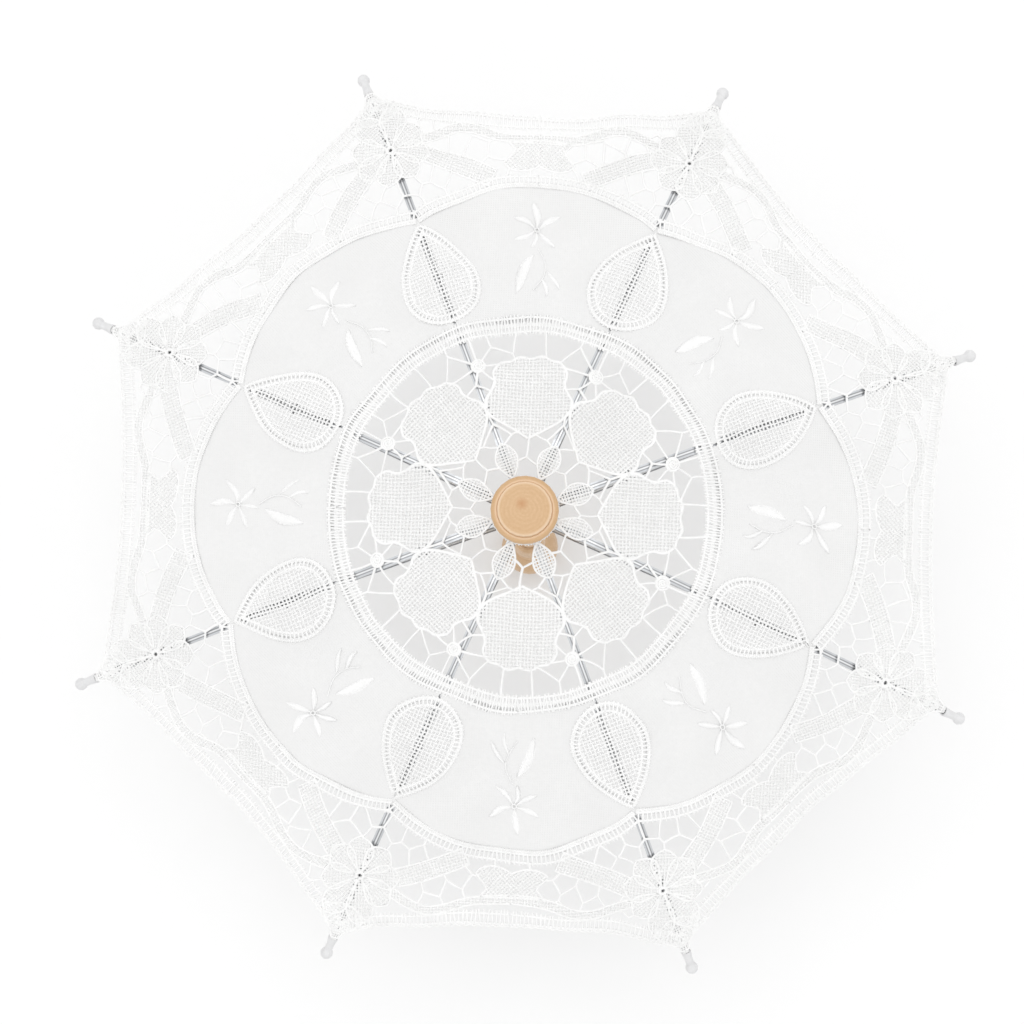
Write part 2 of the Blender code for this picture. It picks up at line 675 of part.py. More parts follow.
def build_canopy():
    """Sixteen half gores, each hinged beside its rib; a is the clockwise side of the rib."""
    for letter, side in (("a", -1), ("b", 1)):
        mesh, hinge = panel_mesh(side)
        for index in range(RIB_COUNT):
            panel = add_object(f"canopy_panel_{index + 1}{letter}", mesh, PARTS, LACE)
            panel.location = radial_position(hinge, rib_angle(index))
            panel.rotation_euler.z = rib_angle(index)
            thickness = panel.modifiers.new("cloth thickness", "SOLIDIFY")
            thickness.thickness = CLOTH_THICKNESS
            thickness.offset = 0.0


# ------------------------------------------------------------ the whole parasol

clear_scene()
PARTS = new_collection("lace_parasol")
HELPERS = new_collection("helpers")

STEEL = make_material("steel", (0.62, 0.63, 0.65), 0.28, metallic=1.0)
TIP_PLASTIC = make_material("tip_plastic", (0.86, 0.86, 0.87), 0.35)
MOULDED_PLASTIC = make_material("moulded_plastic", (0.90, 0.90, 0.88), 0.40)
CAP_WOOD = make_material("cap_wood", (0.80, 0.60, 0.38), 0.38)
HANDLE_WOOD = make_material("handle_wood", (0.79, 0.58, 0.36), 0.38)
SHAFT_WOOD = make_material("shaft_wood", (0.82, 0.65, 0.45), 0.50)
LACE = make_material("lace", (0.93, 0.93, 0.92), 0.85)

build_shaft()
build_handle()
build_cap()
build_notch()
add_wire("notch_wire", RIB_PIVOT.y)
build_runner()
build_catch()
build_pins()
build_ribs()
build_canopy()
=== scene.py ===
"""Looks of the lace parasol: tape lace and cotton, steel ribs, turned wood, milky tips.

The canopy is drawn flat, as seen from straight above, and then laid on the cloth's
surface. A flat point is a complex number, in mm from the shaft's axis, so that turning
is a multiplication. What is drawn in the frame of a gore or of a rib has that gore's
middle or that rib along the real axis. Threads are real tubes along flat lines.
"""

import json
import math

import bpy
import numpy as np
from mathutils import Matrix, Vector
from mathutils.geometry import delaunay_2d_cdt


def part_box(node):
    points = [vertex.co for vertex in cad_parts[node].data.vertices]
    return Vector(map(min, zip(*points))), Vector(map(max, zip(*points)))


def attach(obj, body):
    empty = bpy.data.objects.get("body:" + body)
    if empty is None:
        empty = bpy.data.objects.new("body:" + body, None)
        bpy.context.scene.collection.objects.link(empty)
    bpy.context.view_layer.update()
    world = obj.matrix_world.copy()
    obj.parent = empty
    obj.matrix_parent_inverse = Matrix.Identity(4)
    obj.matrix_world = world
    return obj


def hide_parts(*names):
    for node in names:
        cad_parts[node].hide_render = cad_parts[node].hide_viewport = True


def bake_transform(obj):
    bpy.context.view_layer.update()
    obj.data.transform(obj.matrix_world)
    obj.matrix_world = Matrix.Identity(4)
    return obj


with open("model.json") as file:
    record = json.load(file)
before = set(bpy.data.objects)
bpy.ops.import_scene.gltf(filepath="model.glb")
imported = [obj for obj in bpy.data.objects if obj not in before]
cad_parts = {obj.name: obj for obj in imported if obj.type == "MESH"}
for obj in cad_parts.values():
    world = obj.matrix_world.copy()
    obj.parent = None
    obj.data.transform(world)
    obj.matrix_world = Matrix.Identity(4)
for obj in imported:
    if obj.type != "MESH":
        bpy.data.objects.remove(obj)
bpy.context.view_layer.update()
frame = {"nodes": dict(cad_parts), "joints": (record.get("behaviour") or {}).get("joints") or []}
rng = np.random.default_rng(8)

MM = 0.001
RIBS = range(1, 9)
TINY = 1e-9

# ---- the frame's own sizes, in mm

# Degrees from one gore's middle to the next, and from a gore's middle to its rib.
GORE_TURN = 45
RIB_TURN = 22.5
GORE = math.radians(GORE_TURN)
HALF_GORE = GORE / 2
TIP_BALL = 2.7
RIVET_BELOW_MIDDLE = 0.5
JOINTS = {joint["name"]: joint for joint in frame["joints"]}


def radius_and_height(joint):
    """A joint's place in its radial plane, as a complex number in mm."""
    x, y, z = JOINTS[joint]["pos_m"]
    return complex(math.hypot(x, y), z) / MM


def circle_through(first, second, third):
    """Centre and radius of the circle through three complex points."""
    ratio = (third - first) / (second - first)
    centre = first + (second - first) * (ratio - abs(ratio) ** 2) / (2j * ratio.imag)
    return centre, abs(first - centre)


def tip_point():
    """Middle of the ball tips in their radial planes, from the tips' box."""
    low = min(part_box(f"rib_tip_{rib}")[0].z for rib in RIBS) / MM
    far = max(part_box(f"rib_tip_{rib}")[1].x for rib in RIBS) / MM
    return complex((far - TIP_BALL) / math.cos(HALF_GORE), low + TIP_BALL)


RIB_PIVOT = radius_and_height("rib_1_fold")
RIB_JOINT = radius_and_height("stretcher_1_fold") + 1j * RIVET_BELOW_MIDDLE
RIB_TIP = tip_point()
CAP_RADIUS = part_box("cap")[1].x
ARC_CENTRE, ARC_RADIUS = circle_through(RIB_PIVOT, RIB_JOINT, RIB_TIP)

# ---- the cloth's surface

CLOTH_LIFT = 2.4
CLOTH_INNER = 10.7
CLOTH_CORNER = 190.0
CLOTH_EDGE_MIDDLE = 170.0
GORE_SAG = 6.45
SLOPE_STEP = 0.4
# Direction in radians, length and size of the slow waves that the drawing wanders by.
WANDERS = ((0.4, 31, 0.352), (1.9, 23, 0.256), (3.3, 47, 0.48), (5.0, 17, 0.16))
WANDER_START = 12
WANDER_FADE = 20


def hem_reach(across):
    """Distance of the hem along a gore's middle; across is 0 at the middle, 1 at a rib."""
    corner = CLOTH_CORNER * math.cos(HALF_GORE)
    return CLOTH_EDGE_MIDDLE + (corner - CLOTH_EDGE_MIDDLE) * across ** 2


def in_gore(flat):
    """Flat points turned into the frame of the gore that each is in."""
    return flat * np.exp(-1j * GORE * np.round(np.angle(flat) / GORE))


def cloth_height(flat):
    """Height of the cloth at flat points: level across a gore, sagging between ribs."""
    local = in_gore(flat)
    reach = local.real
    across = np.minimum(np.abs(local.imag) / (reach * math.tan(HALF_GORE)), 1)
    inner = CLOTH_INNER * math.cos(HALF_GORE)
    share = np.clip((reach - inner) / (hem_reach(across) - inner), 0, 1)
    sag = GORE_SAG * np.sin(math.pi * share) * (1 - across ** 2) ** 2
    beyond = reach / math.cos(HALF_GORE) - ARC_CENTRE.real
    return ARC_CENTRE.imag + np.sqrt((ARC_RADIUS + CLOTH_LIFT) ** 2 - beyond ** 2) - sag


def hand_made(flat):
    """A slow wander of the drawing, as in lace that is laid and sewn by hand."""
    wander = np.zeros(flat.shape, complex)
    for turn, length, size in WANDERS:
        along = (flat * np.exp(-1j * turn)).real
        wave = size * np.sin(2 * math.pi * along / length + turn)
        wander += wave * np.exp(1j * (2 * turn + 1))
    return flat + wander * np.clip((np.abs(flat) - WANDER_START) / WANDER_FADE, 0, 1)


def on_cloth(flat, lift):
    """World points in metres and surface normals for flat points lifted off the cloth."""
    flat = hand_made(flat)
    slopes = [(cloth_height(flat - step) - cloth_height(flat + step)) / (2 * SLOPE_STEP)
              for step in (SLOPE_STEP, 1j * SLOPE_STEP)]
    normal = np.stack([*slopes, np.ones(len(flat))], axis=1)
    normal /= np.linalg.norm(normal, axis=1)[:, None]
    base = np.stack([flat.real, flat.imag, cloth_height(flat)], axis=1)
    return (base + normal * np.asarray(lift)[:, None]) * MM, normal


# ---- flat lines and outlines

CURVE_STEP = 1.5
LOOK_AHEAD = 0.4


def polar(radius, degrees):
    """A flat point at a radius and an angle."""
    return radius * np.exp(1j * np.radians(degrees))


def arc(centre, radius, start, end, step=CURVE_STEP):
    """Points along a circle between two angles in degrees."""
    count = max(3, int(abs(math.radians(end - start)) * radius / step) + 1)
    return centre + polar(radius, np.linspace(start, end, count))


def curve(*points, step=CURVE_STEP):
    """A smooth flat line through a few points."""
    points = np.array(points, complex)
    before = 2 * points[0] - points[1]
    after = 2 * points[-1] - points[-2]
    padded = np.concatenate([[before], points, [after]])
    pieces = []
    for a, b, c, d in zip(padded, padded[1:], padded[2:], padded[3:]):
        t = np.arange(0, 1, min(0.5, step / abs(c - b)))
        pieces.append(b + t * (c - a) / 2 + t ** 2 * (2 * a - 5 * b + 4 * c - d) / 2
                      + t ** 3 * (3 * b - a - 3 * c + d) / 2)
    return np.concatenate([*pieces, points[-1:]])


def sideways(line, closed=False):
    """Unit vectors to the left of a flat line at its points."""
    ahead = np.gradient(line)
    if closed:
        ahead[0] = ahead[-1] = line[1] - line[-2]
    return 1j * ahead / np.abs(ahead)


def stations(line, pitch):
    """Points at even distances along a flat line, and the unit vectors to their left."""
    length = np.concatenate([[0], np.cumsum(np.abs(np.diff(line)))])
    count = max(1, round(length[-1] / pitch))
    places = (np.arange(count) + 0.5) * length[-1] / count

    def at(distance):
        return np.interp(distance, length, line.real) + 1j * np.interp(distance, length, line.imag)

    ahead = at(places + LOOK_AHEAD) - at(places - LOOK_AHEAD)
    return at(places), 1j * ahead / np.abs(ahead)


def closed(outline):
    """An outline that ends where it starts."""
    return np.append(outline, outline[:1])


def band_outline(line, width):
    """Outline of a band along a flat line."""
    side = sideways(line) * width / 2
    return np.concatenate([line + side, (line - side)[::-1]])


def leaf_outline(start, end, width, fullness=0.8, lean=1.0, count=12):
    """A leaf from one point to another; lean above 1 puts its widest place nearer the end."""
    share = np.linspace(0, 1, count)
    half = width / 2 * np.sin(math.pi * share ** lean) ** fullness
    side = 1j * (end - start) / abs(end - start)
    middle = start + (end - start) * share
    return np.concatenate([middle + side * half, (middle - side * half)[-2:0:-1]])


def contains(outline, flat):
    """Which flat points lie within a closed outline."""
    first, second = outline[None, :], np.roll(outline, -1)[None, :]
    point = flat[:, None]
    crosses = (first.imag > point.imag) != (second.imag > point.imag)
    rise = np.where(crosses, second.imag - first.imag, 1)
    reach = first.real + (point.imag - first.imag) * (second.real - first.real) / rise
    return (crosses & (point.real < reach)).sum(axis=1) % 2 == 1


def crossings(outline, level):
    """Stretches of the horizontal line at a level that lie within an outline."""
    first, second = outline, np.roll(outline, -1)
    hit = (first.imag > level) != (second.imag > level)
    first, second = first[hit], second[hit]
    share = (level - first.imag) / (second.imag - first.imag)
    places = np.sort(first.real + share * (second.real - first.real))
    return list(zip(places[::2], places[1::2]))


# ---- threads

# Radii of threads in mm, and how much they vary.
FINE = 0.36
RUNG = 0.46
EDGE = 0.42
CORD = 0.46
BRIDE = 0.52
RIM_CORD = 0.34
RIM_STITCH = 0.32
WOVEN_SPREAD = (0.85, 1.2)
SEWN_SPREAD = (0.85, 1.15)

# How far a darning's threads pass over and under, and how unevenly they lie.
WEAVE_WAVE = 0.9
WEAVE_SHAKE = 0.05

RUNG_LEAN = 0.09
RUNG_SPREAD = (0.6, 1.2)
RUNG_SHOULDER = 0.8
RUNG_LIFTS = (-0.3, 0.2, 0.0, 0.2, -0.3)
RIM_PITCH = 0.85
RIM_SLANT, RIM_SLANT_SPREAD = 0.25, 0.08
RIM_DROP = 0.15
RIM_LIFTS = (-0.1, 0.2, -0.1)


class Drawing:
    """Threads drawn flat, in the frame of the gore or rib that it faces."""

    def __init__(self):
        self.lines = []
        self.turn = 1.0

    def face(self, degrees):
        """Draw from here on in the frame at an angle."""
        self.turn = polar(1.0, degrees)

    def thread(self, points, radius, lift=0.0, wide=1.0):
        """A thread of round section, or wider than thick along the cloth."""
        points = np.asarray(points, complex) * self.turn
        lifts = np.broadcast_to(np.asarray(lift, float), points.shape)
        self.lines.append((points, lifts, radius, wide))

    def cord(self, outline, radius=CORD, lift=0.15, wide=1.15):
        """A thread all round an outline."""
        self.thread(closed(outline), radius, lift, wide)

    def woven(self, outline, pitch, radius=FINE, angle=0.0):
        """Darning that fills an outline: two sets of threads, over and under in turn."""
        for turn in (polar(1.0, angle), polar(1.0, angle + 90)):
            local = outline / turn
            rows = np.arange(math.ceil(local.imag.min() / pitch - 0.5),
                             math.floor(local.imag.max() / pitch - 0.5) + 1)
            for row in rows:
                for low, high in crossings(local, (row + 0.5) * pitch):
                    self.woven_thread(turn, row, low, high, pitch, radius)

    def woven_thread(self, turn, row, low, high, pitch, radius):
        """One thread of a darning, with a point over or under each thread that it crosses."""
        knots = np.arange(math.ceil(low / pitch - 0.4), math.floor(high / pitch - 0.6) + 1)
        along = np.concatenate([[low], (knots + 0.5) * pitch, [high]])
        lifts = WEAVE_WAVE * radius * (-1.0) ** (knots + row)
        level = (row + 0.5) * pitch + rng.normal(0, WEAVE_SHAKE * pitch, len(along))
        self.thread((along + 1j * level) * turn, radius * rng.uniform(*WOVEN_SPREAD),
                    np.concatenate([[0], lifts, [0]]))

    def tape(self, line, width, pitch=1.7, closed=False, fringe=(0.3, 0.3), rung=RUNG):
        """Ladder tape along a flat line: flat cords, and rungs whipped over them and beyond."""
        side = sideways(line, closed)
        for share in (-0.5, 0.5):
            self.thread(line + side * (width - 2 * EDGE) * share, EDGE, wide=1.5)
        for place, across in zip(*stations(line, pitch)):
            lean = across * np.exp(1j * rng.normal(0, RUNG_LEAN))
            right, left = (lean * (width / 2 + reach * rng.uniform(*RUNG_SPREAD)) for reach in fringe)
            points = [place - right, place - right * RUNG_SHOULDER, place,
                      place + left * RUNG_SHOULDER, place + left]
            self.thread(points, rung * rng.uniform(*SEWN_SPREAD), RUNG_LIFTS)

    def rim(self, line, width):
        """A flat, closely stitched edge."""
        self.thread(line, RIM_CORD, -RIM_DROP, width / (2 * RIM_CORD))
        for place, across in zip(*stations(line, RIM_PITCH)):
            lean = np.exp(1j * rng.normal(RIM_SLANT, RIM_SLANT_SPREAD))
            slant = across * lean * width / 2
            self.thread([place - slant, place, place + slant], RIM_STITCH, RIM_LIFTS)

    def zigzag(self, line, width, pitch):
        """A thread that swings from one side of a flat line to the other."""
        places, across = stations(line, pitch)
        swing = np.where(np.arange(len(places)) % 2, 0.5, -0.5) * width
        self.thread(places + across * swing, RUNG, lift=0.05)


# ---- lace layout, in mm

HUB_TAPE = 12.3
LEAF_START, LEAF_END, LEAF_WIDTH = 13.4, 29.0, 8.6
LEAF_LEANS = rng.normal(3, 3, len(RIBS))
SHIELD_HALF = curve(62.6 + 0j, 63.7 + 4.6j, 61.6 + 8.4j, 60.6 + 12.2j, 56.6 + 14.9j, 52.2 + 14.2j,
                    48.6 + 15.3j, 44.6 + 17.4j, 40.4 + 16.5j, 36.8 + 13.0j, 33.4 + 7.4j, 29.3 + 0j)
WHEEL_PLACE, WHEEL_RADIUS, WHEEL_TURNS = 62.4 - 3.0j, 2.7, 3
RING_MIDDLE, RING_WIDTH = 77.5, 6.6
DROP_START, DROP_END, DROP_HALF = 83.4, 128.5, 16.2
DROP_TAPE = 3.8
DROP_TAPER = 1.9
SCALLOP_CUSP, SCALLOP_MIDDLE, SCALLOP_WIDTH = 130.9, 140.6, 5.4
FLOWER_PLACE, FLOWER_HEART, FLOWER_PETAL, CORNER_PETAL = 163.6, 3.0, 16.4, 21.0
PETAL_START, PETAL_WIDTH = 0.8, 11.0
PETAL_TURNS = np.arange(RIB_TURN, 360, GORE_TURN)
HEM_WIDTH = 5.4
BINDING_START, BINDING_PITCH, BINDING_TURNS = 191.2, 0.6, 4
SCALLOP_CENTRE, SCALLOP_RADIUS = circle_through(
    polar(SCALLOP_CUSP, RIB_TURN), SCALLOP_MIDDLE, polar(SCALLOP_CUSP, -RIB_TURN))
ARM_LINE = curve(141.0 + 19.5j, 144.6 + 27.5j, 147.8 + 36.0j, 151.0 + 48.5j)
ARM_WIDTH = 8.8
BAND_LINE = curve(157.4 + 50j, 161.2 + 42j, 163.8 + 34.5j, 163.0 + 26.5j, 159.8 + 16j, 159.0 + 0j)
BAND_WIDTH = 4.6
BOW_HALF = curve(147.6 + 0j, 145.4 + 5.2j, 145.2 + 11.2j, 147.8 + 14.9j, 151.2 + 12.2j,
                 154.2 + 10.6j, 157.6 + 12.8j, 158.4 + 0j)


def whole(half):
    """A closed outline from the half of it on the left of the axis."""
    return np.concatenate([half, np.conj(half[-2:0:-1])])


def drop_outline(inset):
    """A teardrop, rounded towards the cap and pointed towards the hem."""
    middle = DROP_START + DROP_HALF
    end = DROP_END - 1.6 * inset
    share = np.linspace(0, 1, 20)[1:-1]
    half = (DROP_HALF - inset) * (1 - share ** DROP_TAPER)
    side = middle + (end - middle) * share + 1j * half
    return np.concatenate([arc(middle, DROP_HALF - inset, 90, 270), np.conj(side), [end], side[::-1]])


def hem_line(inset):
    """The canopy's edge across one gore, from rib to rib, some way in."""
    across = np.linspace(-1, 1, 61)
    reach = hem_reach(across)
    line = reach + 1j * reach * math.tan(HALF_GORE) * across
    return line + sideways(line) * inset


def scallop_line(inset=0.0):
    """The outer edge of a cotton lobe, an arc from rib to rib, some way in."""
    end = np.degrees(np.angle(polar(SCALLOP_CUSP, RIB_TURN) - SCALLOP_CENTRE))
    return arc(SCALLOP_CENTRE, SCALLOP_RADIUS - inset, -end, end)


def leaf_at(degrees):
    """A small leaf near the cap, in its rib's frame, leaning away from the rib."""
    return leaf_outline(polar(LEAF_START, degrees), polar(LEAF_END, degrees), LEAF_WIDTH, lean=1.2)


def on_leaf(flat):
    """Which flat points lie on the small leaves near the cap."""
    number = np.floor(np.angle(flat) / GORE).astype(int)
    leaning = GORE * number + HALF_GORE + np.radians(LEAF_LEANS[number % len(RIBS)])
    return contains(leaf_at(0), flat * np.exp(-1j * leaning))


def petal_at(degrees):
    """One petal of a border flower, in its rib's frame; those to the corner are longer."""
    length = CORNER_PETAL if math.cos(math.radians(degrees)) > 0.5 else FLOWER_PETAL
    start = FLOWER_PLACE + polar(PETAL_START, degrees)
    end = FLOWER_PLACE + polar(length, degrees)
    return leaf_outline(start, end, PETAL_WIDTH, fullness=0.75, lean=1.5, count=16)


def corner_outline():
    """The close darning where a corner is sewn to its rib's tip, in the rib's frame."""
    half = np.array([191.4 + 1.5j, 188.2 + 3.0j, 184.6 + 7.4j, 180.0 + 9.4j, 177.0 + 2.0j])
    return np.concatenate([half, np.conj(half[::-1])])


# ---- brides between the motifs

GORE_SEEDS = (17.0 + 0j, 24.0 + 4.5j, 68.9 + 0j, 68.7 + 12.6j)
GORE_SCATTER = 0.45
RIB_SEEDS = (32.6 + 0j, 36.4 + 4.4j, 51.0 + 0j)
RIB_SCATTER = 0.4
WHEEL_SPOKES = 7
WHEEL_SEED_REACH = 7.8
GROUND_STEP = 1.6
WIDEST_REACH = 7.4
EVENING_ROUNDS = 5
BRIDE_STEP = 0.25
BRIDE_TUCK, FEWEST_STEPS = 2, 3
SHORTEST_EDGE, FARTHEST_EDGE = 0.4, 210.0
BRIDE_POINT_PITCH = 1.8
BRIDE_BOW = 0.025
BRIDE_LIFT = 0.1
TUCKED = 0.4


def border_seeds(inner):
    """Middles of even cells that fill the open ground of the border."""
    grid = np.arange(-CLOTH_CORNER, CLOTH_CORNER, GROUND_STEP)
    ground = (grid[:, None] + 1j * grid[None, :]).ravel()
    ground = ground[open_between(ground) & (np.abs(ground) > RING_MIDDLE)]
    seeds = inner
    far = np.abs(ground[:, None] - inner[None, :]).min(axis=1)
    while far.max() > WIDEST_REACH:
        added = ground[far.argmax()]
        seeds = np.append(seeds, added)
        far = np.minimum(far, np.abs(ground - added))
    for _ in range(EVENING_ROUNDS):
        nearest = np.abs(ground[:, None] - seeds[None, :]).argmin(axis=1)
        count = np.maximum(np.bincount(nearest, minlength=len(seeds)), 1)
        total = (np.bincount(nearest, ground.real, len(seeds))
                 + 1j * np.bincount(nearest, ground.imag, len(seeds)))
        seeds = np.concatenate([inner, (total / count)[len(inner):]])
    return seeds[len(inner):]


def on_both_sides(places):
    """Flat points and their mirror images across the axis, in a set order."""
    return np.unique([*places, *np.conj(places)])


def bride_seeds():
    """Middles of the open cells that the brides divide, all round the canopy."""
    wheel = [WHEEL_PLACE + polar(WHEEL_SEED_REACH, 180 + 360 * spoke / WHEEL_SPOKES)
             for spoke in range(WHEEL_SPOKES)]
    seeds = []
    for index in range(len(RIBS)):
        gore = polar(1.0, GORE_TURN * index)
        rib = polar(1.0, GORE_TURN * index + RIB_TURN)
        for places, turn, scatter in ((GORE_SEEDS, gore, GORE_SCATTER), (RIB_SEEDS, rib, RIB_SCATTER)):
            for place in on_both_sides(places):
                seeds.append(place * turn + complex(*rng.normal(0, scatter, 2)))
        seeds.extend(place * rib for place in wheel)
    inner = np.array(seeds)
    return np.concatenate([inner, border_seeds(inner)])


def cell_edges(seeds):
    """Edges between the cells nearest to each seed (a Voronoi diagram)."""
    points = [Vector((seed.real, seed.imag)) for seed in seeds]
    corners, _, triangles, *_ = delaunay_2d_cdt(points, [], [], 0, 1e-6)
    corners = [complex(*corner) for corner in corners]
    middles = {}
    for a, b, c in triangles:
        middle = complex(circle_through(corners[a], corners[b], corners[c])[0])
        for edge in ((a, b), (b, c), (c, a)):
            middles.setdefault(tuple(sorted(edge)), []).append(middle)
    return [pair for pair in middles.values() if len(pair) == 2]


def open_between(flat):
    """Which flat points lie in the openings that brides cross."""
    local = in_gore(flat)
    half = local.real + 1j * np.abs(local.imag)
    rib = np.conj(half * polar(1.0, -RIB_TURN))
    inner = (half.real > 0) & (np.abs(half) > HUB_TAPE + 1)
    inner &= np.abs(half) < RING_MIDDLE - RING_WIDTH / 2
    inner &= ~contains(whole(SHIELD_HALF), half) & ~on_leaf(flat)
    inner &= np.abs(rib - WHEEL_PLACE) > 0.5
    return inner | open_in_border(half, rib)


def open_in_border(half, rib):
    """Which points of a half gore, also given in its rib's frame, lie in the border's openings."""
    across = half.imag / (half.real * math.tan(HALF_GORE))
    outer = np.abs(half - SCALLOP_CENTRE) > SCALLOP_RADIUS + SCALLOP_WIDTH / 2 - TUCKED
    outer &= half.real < hem_reach(across) - HEM_WIDTH + TUCKED
    outer &= ~contains(band_outline(ARM_LINE, ARM_WIDTH), half)
    outer &= ~contains(band_outline(BAND_LINE, BAND_WIDTH), half)
    outer &= ~contains(whole(BOW_HALF), half) & ~contains(corner_outline(), rib)
    outer &= np.abs(rib - FLOWER_PLACE) > FLOWER_HEART
    # Half a gore reaches only the four petals on its side of the rib.
    for degrees in PETAL_TURNS[:4]:
        outer &= ~contains(petal_at(degrees), rib)
    return outer


def draw_brides(work):
    """Buttonholed bars across the openings, tucked under the cords at their ends."""
    for start, end in cell_edges(bride_seeds()):
        if max(abs(start), abs(end)) > FARTHEST_EDGE or abs(end - start) < SHORTEST_EDGE:
            continue
        count = max(2, int(abs(end - start) / BRIDE_STEP))
        line = start + (end - start) * np.linspace(0, 1, count)
        is_open = np.concatenate([[False], open_between(line), [False]])
        turns = np.flatnonzero(is_open[1:] != is_open[:-1])
        for first, last in zip(turns[::2], turns[1::2] - 1):
            if last - first >= FEWEST_STEPS:
                draw_bride(work, line[max(0, first - BRIDE_TUCK)],
                           line[min(count - 1, last + BRIDE_TUCK)])


def draw_bride(work, start, end):
    """One slightly bowed bar."""
    length = abs(end - start)
    places = np.linspace(0, 1, max(3, int(length / BRIDE_POINT_PITCH)))
    bow = rng.normal(0, BRIDE_BOW) * length * 4 * places * (1 - places)
    work.thread(start + (end - start) * (places + 1j * bow / length),
                BRIDE * rng.uniform(*SEWN_SPREAD), rng.uniform(-BRIDE_LIFT, BRIDE_LIFT))


# ---- motifs, each in the frame of its gore or rib

def draw_hub(work):
    """The gathered tape at the middle, under the cap."""
    line = closed(arc(0, HUB_TAPE, 0, 360)[:-1])
    work.tape(line, width=2.6, pitch=1.2, closed=True, rung=0.4)


def draw_leaf(work, degrees):
    """A small woven leaf beside the rib, near the cap."""
    work.cord(leaf_at(degrees), EDGE)
    work.woven(leaf_at(degrees), pitch=1.25, angle=degrees)


def draw_shield(work):
    """A woven shield beside the middle."""
    outline = whole(SHIELD_HALF)
    work.cord(outline, radius=0.48, lift=0.05, wide=1.5)
    work.woven(outline, pitch=1.45, radius=0.46)


def draw_wheel(work):
    """A small darned wheel where the brides meet on a rib."""
    share = np.linspace(0, 1, 40)
    spiral = WHEEL_PLACE + share * WHEEL_RADIUS * np.exp(2j * math.pi * WHEEL_TURNS * share)
    work.thread(spiral, radius=0.5, lift=0.2)
    work.cord(arc(WHEEL_PLACE, WHEEL_RADIUS, 0, 360)[:-1], EDGE)


def draw_ring(work):
    """The ladder tape between the middle and the cotton lobes."""
    line = closed(arc(0, RING_MIDDLE, 0, 360)[:-1])
    work.rim(line, width=2.2)
    work.tape(line, RING_WIDTH, pitch=1.3, closed=True, fringe=(0.9, 0.7), rung=0.42)


def draw_drop(work):
    """A woven teardrop in a ladder tape, on the rib."""
    work.tape(closed(drop_outline(DROP_TAPE / 2)), DROP_TAPE, closed=True)
    work.rim(closed(drop_outline(0.7)), width=1.6)
    work.woven(drop_outline(DROP_TAPE - 0.3), pitch=1.6, radius=0.44)


def draw_scallop(work):
    """The lobe's border: a flat woven rim on the cotton and a ladder outside it."""
    work.tape(scallop_line(-0.6), SCALLOP_WIDTH - 1.2, pitch=1.85, fringe=(0.7, 0.2))
    work.rim(scallop_line(1.7), width=2.2)


def draw_arms(work):
    """Woven tapes from the scallop to the corner flowers, and the lens's lower side."""
    for line, width in ((ARM_LINE, ARM_WIDTH), (BAND_LINE, BAND_WIDTH)):
        for side in (line, np.conj(line)):
            outline = band_outline(side, width - 2 * EDGE)
            work.cord(outline, EDGE)
            work.woven(outline, pitch=1.35, radius=0.42,
                       angle=np.degrees(np.angle(side[-1] - side[0])))


def draw_bow(work):
    """The woven bow in the middle of a gore's border."""
    work.cord(whole(BOW_HALF), EDGE)
    work.woven(whole(BOW_HALF), pitch=1.35, radius=0.42, angle=45)


def draw_flower(work):
    """An eight-petalled darned flower at a corner."""
    for degrees in PETAL_TURNS:
        outline = petal_at(degrees)
        work.cord(outline, EDGE, lift=0.3)
        work.woven(outline, pitch=1.3, radius=0.4, angle=degrees)
    heart = arc(FLOWER_PLACE, 1.5, 0, 360, step=0.8)[:-1]
    work.cord(heart, radius=0.5, lift=0.5)


def draw_corner(work):
    """The darned corner, and the thread that binds it to the rib beside the ball tip."""
    work.cord(corner_outline(), EDGE)
    work.woven(corner_outline(), pitch=1.0)
    for turn in range(BINDING_TURNS):
        reach = BINDING_START + BINDING_PITCH * turn
        work.thread([reach - 1.9j, reach - 1.2j, reach + 1.2j, reach + 1.9j],
                    radius=0.4, lift=(-3.2, -0.8, -0.8, -3.2))


def draw_hem(work):
    """The canopy's edge: a ladder tape, a close rim and a looped thread outside it."""
    work.tape(hem_line(HEM_WIDTH / 2 + 0.4), HEM_WIDTH - 0.8, pitch=1.7, fringe=(0.2, 1.0))
    work.rim(hem_line(1.0), width=1.9)
    work.zigzag(hem_line(0.3), width=0.8, pitch=1.5)


def draw_lace():
    """All the tape lace, as flat threads."""
    work = Drawing()
    draw_hub(work)
    draw_ring(work)
    draw_brides(work)
    for index in range(len(RIBS)):
        work.face(GORE_TURN * index)
        for draw in (draw_shield, draw_scallop, draw_arms, draw_bow, draw_hem):
            draw(work)
        work.face(GORE_TURN * index + RIB_TURN)
        draw_leaf(work, LEAF_LEANS[index])
        for draw in (draw_wheel, draw_drop, draw_flower, draw_corner):
            draw(work)
    return work


# ---- embroidery on the cotton, in the gore's frame

STITCH_PITCH = 0.42
STITCH_RADIUS, STITCH_WIDE = 0.2, 1.4
STITCH_SLANT = -0.35
STITCH_SPREAD = (0.92, 1.08)
STITCH_SINK, STITCH_HEIGHT = -0.36, 0.12
SATIN_FULLNESS = 0.7


def satin(work, line, width, lean=1.0):
    """A petal or leaf in satin stitch along a flat line: close slanting stitches."""
    places, across = stations(line, STITCH_PITCH)
    share = (np.arange(len(places)) + 0.5) / len(places)
    half = width / 2 * np.sin(math.pi * share ** lean) ** SATIN_FULLNESS
    for place, side, reach in zip(places, across, half):
        slant = side * np.exp(1j * STITCH_SLANT) * reach * rng.uniform(*STITCH_SPREAD)
        work.thread([place - slant, place - slant / 2, place + slant / 2, place + slant],
                    STITCH_RADIUS, (STITCH_SINK, STITCH_HEIGHT, STITCH_HEIGHT, STITCH_SINK),
                    STITCH_WIDE)


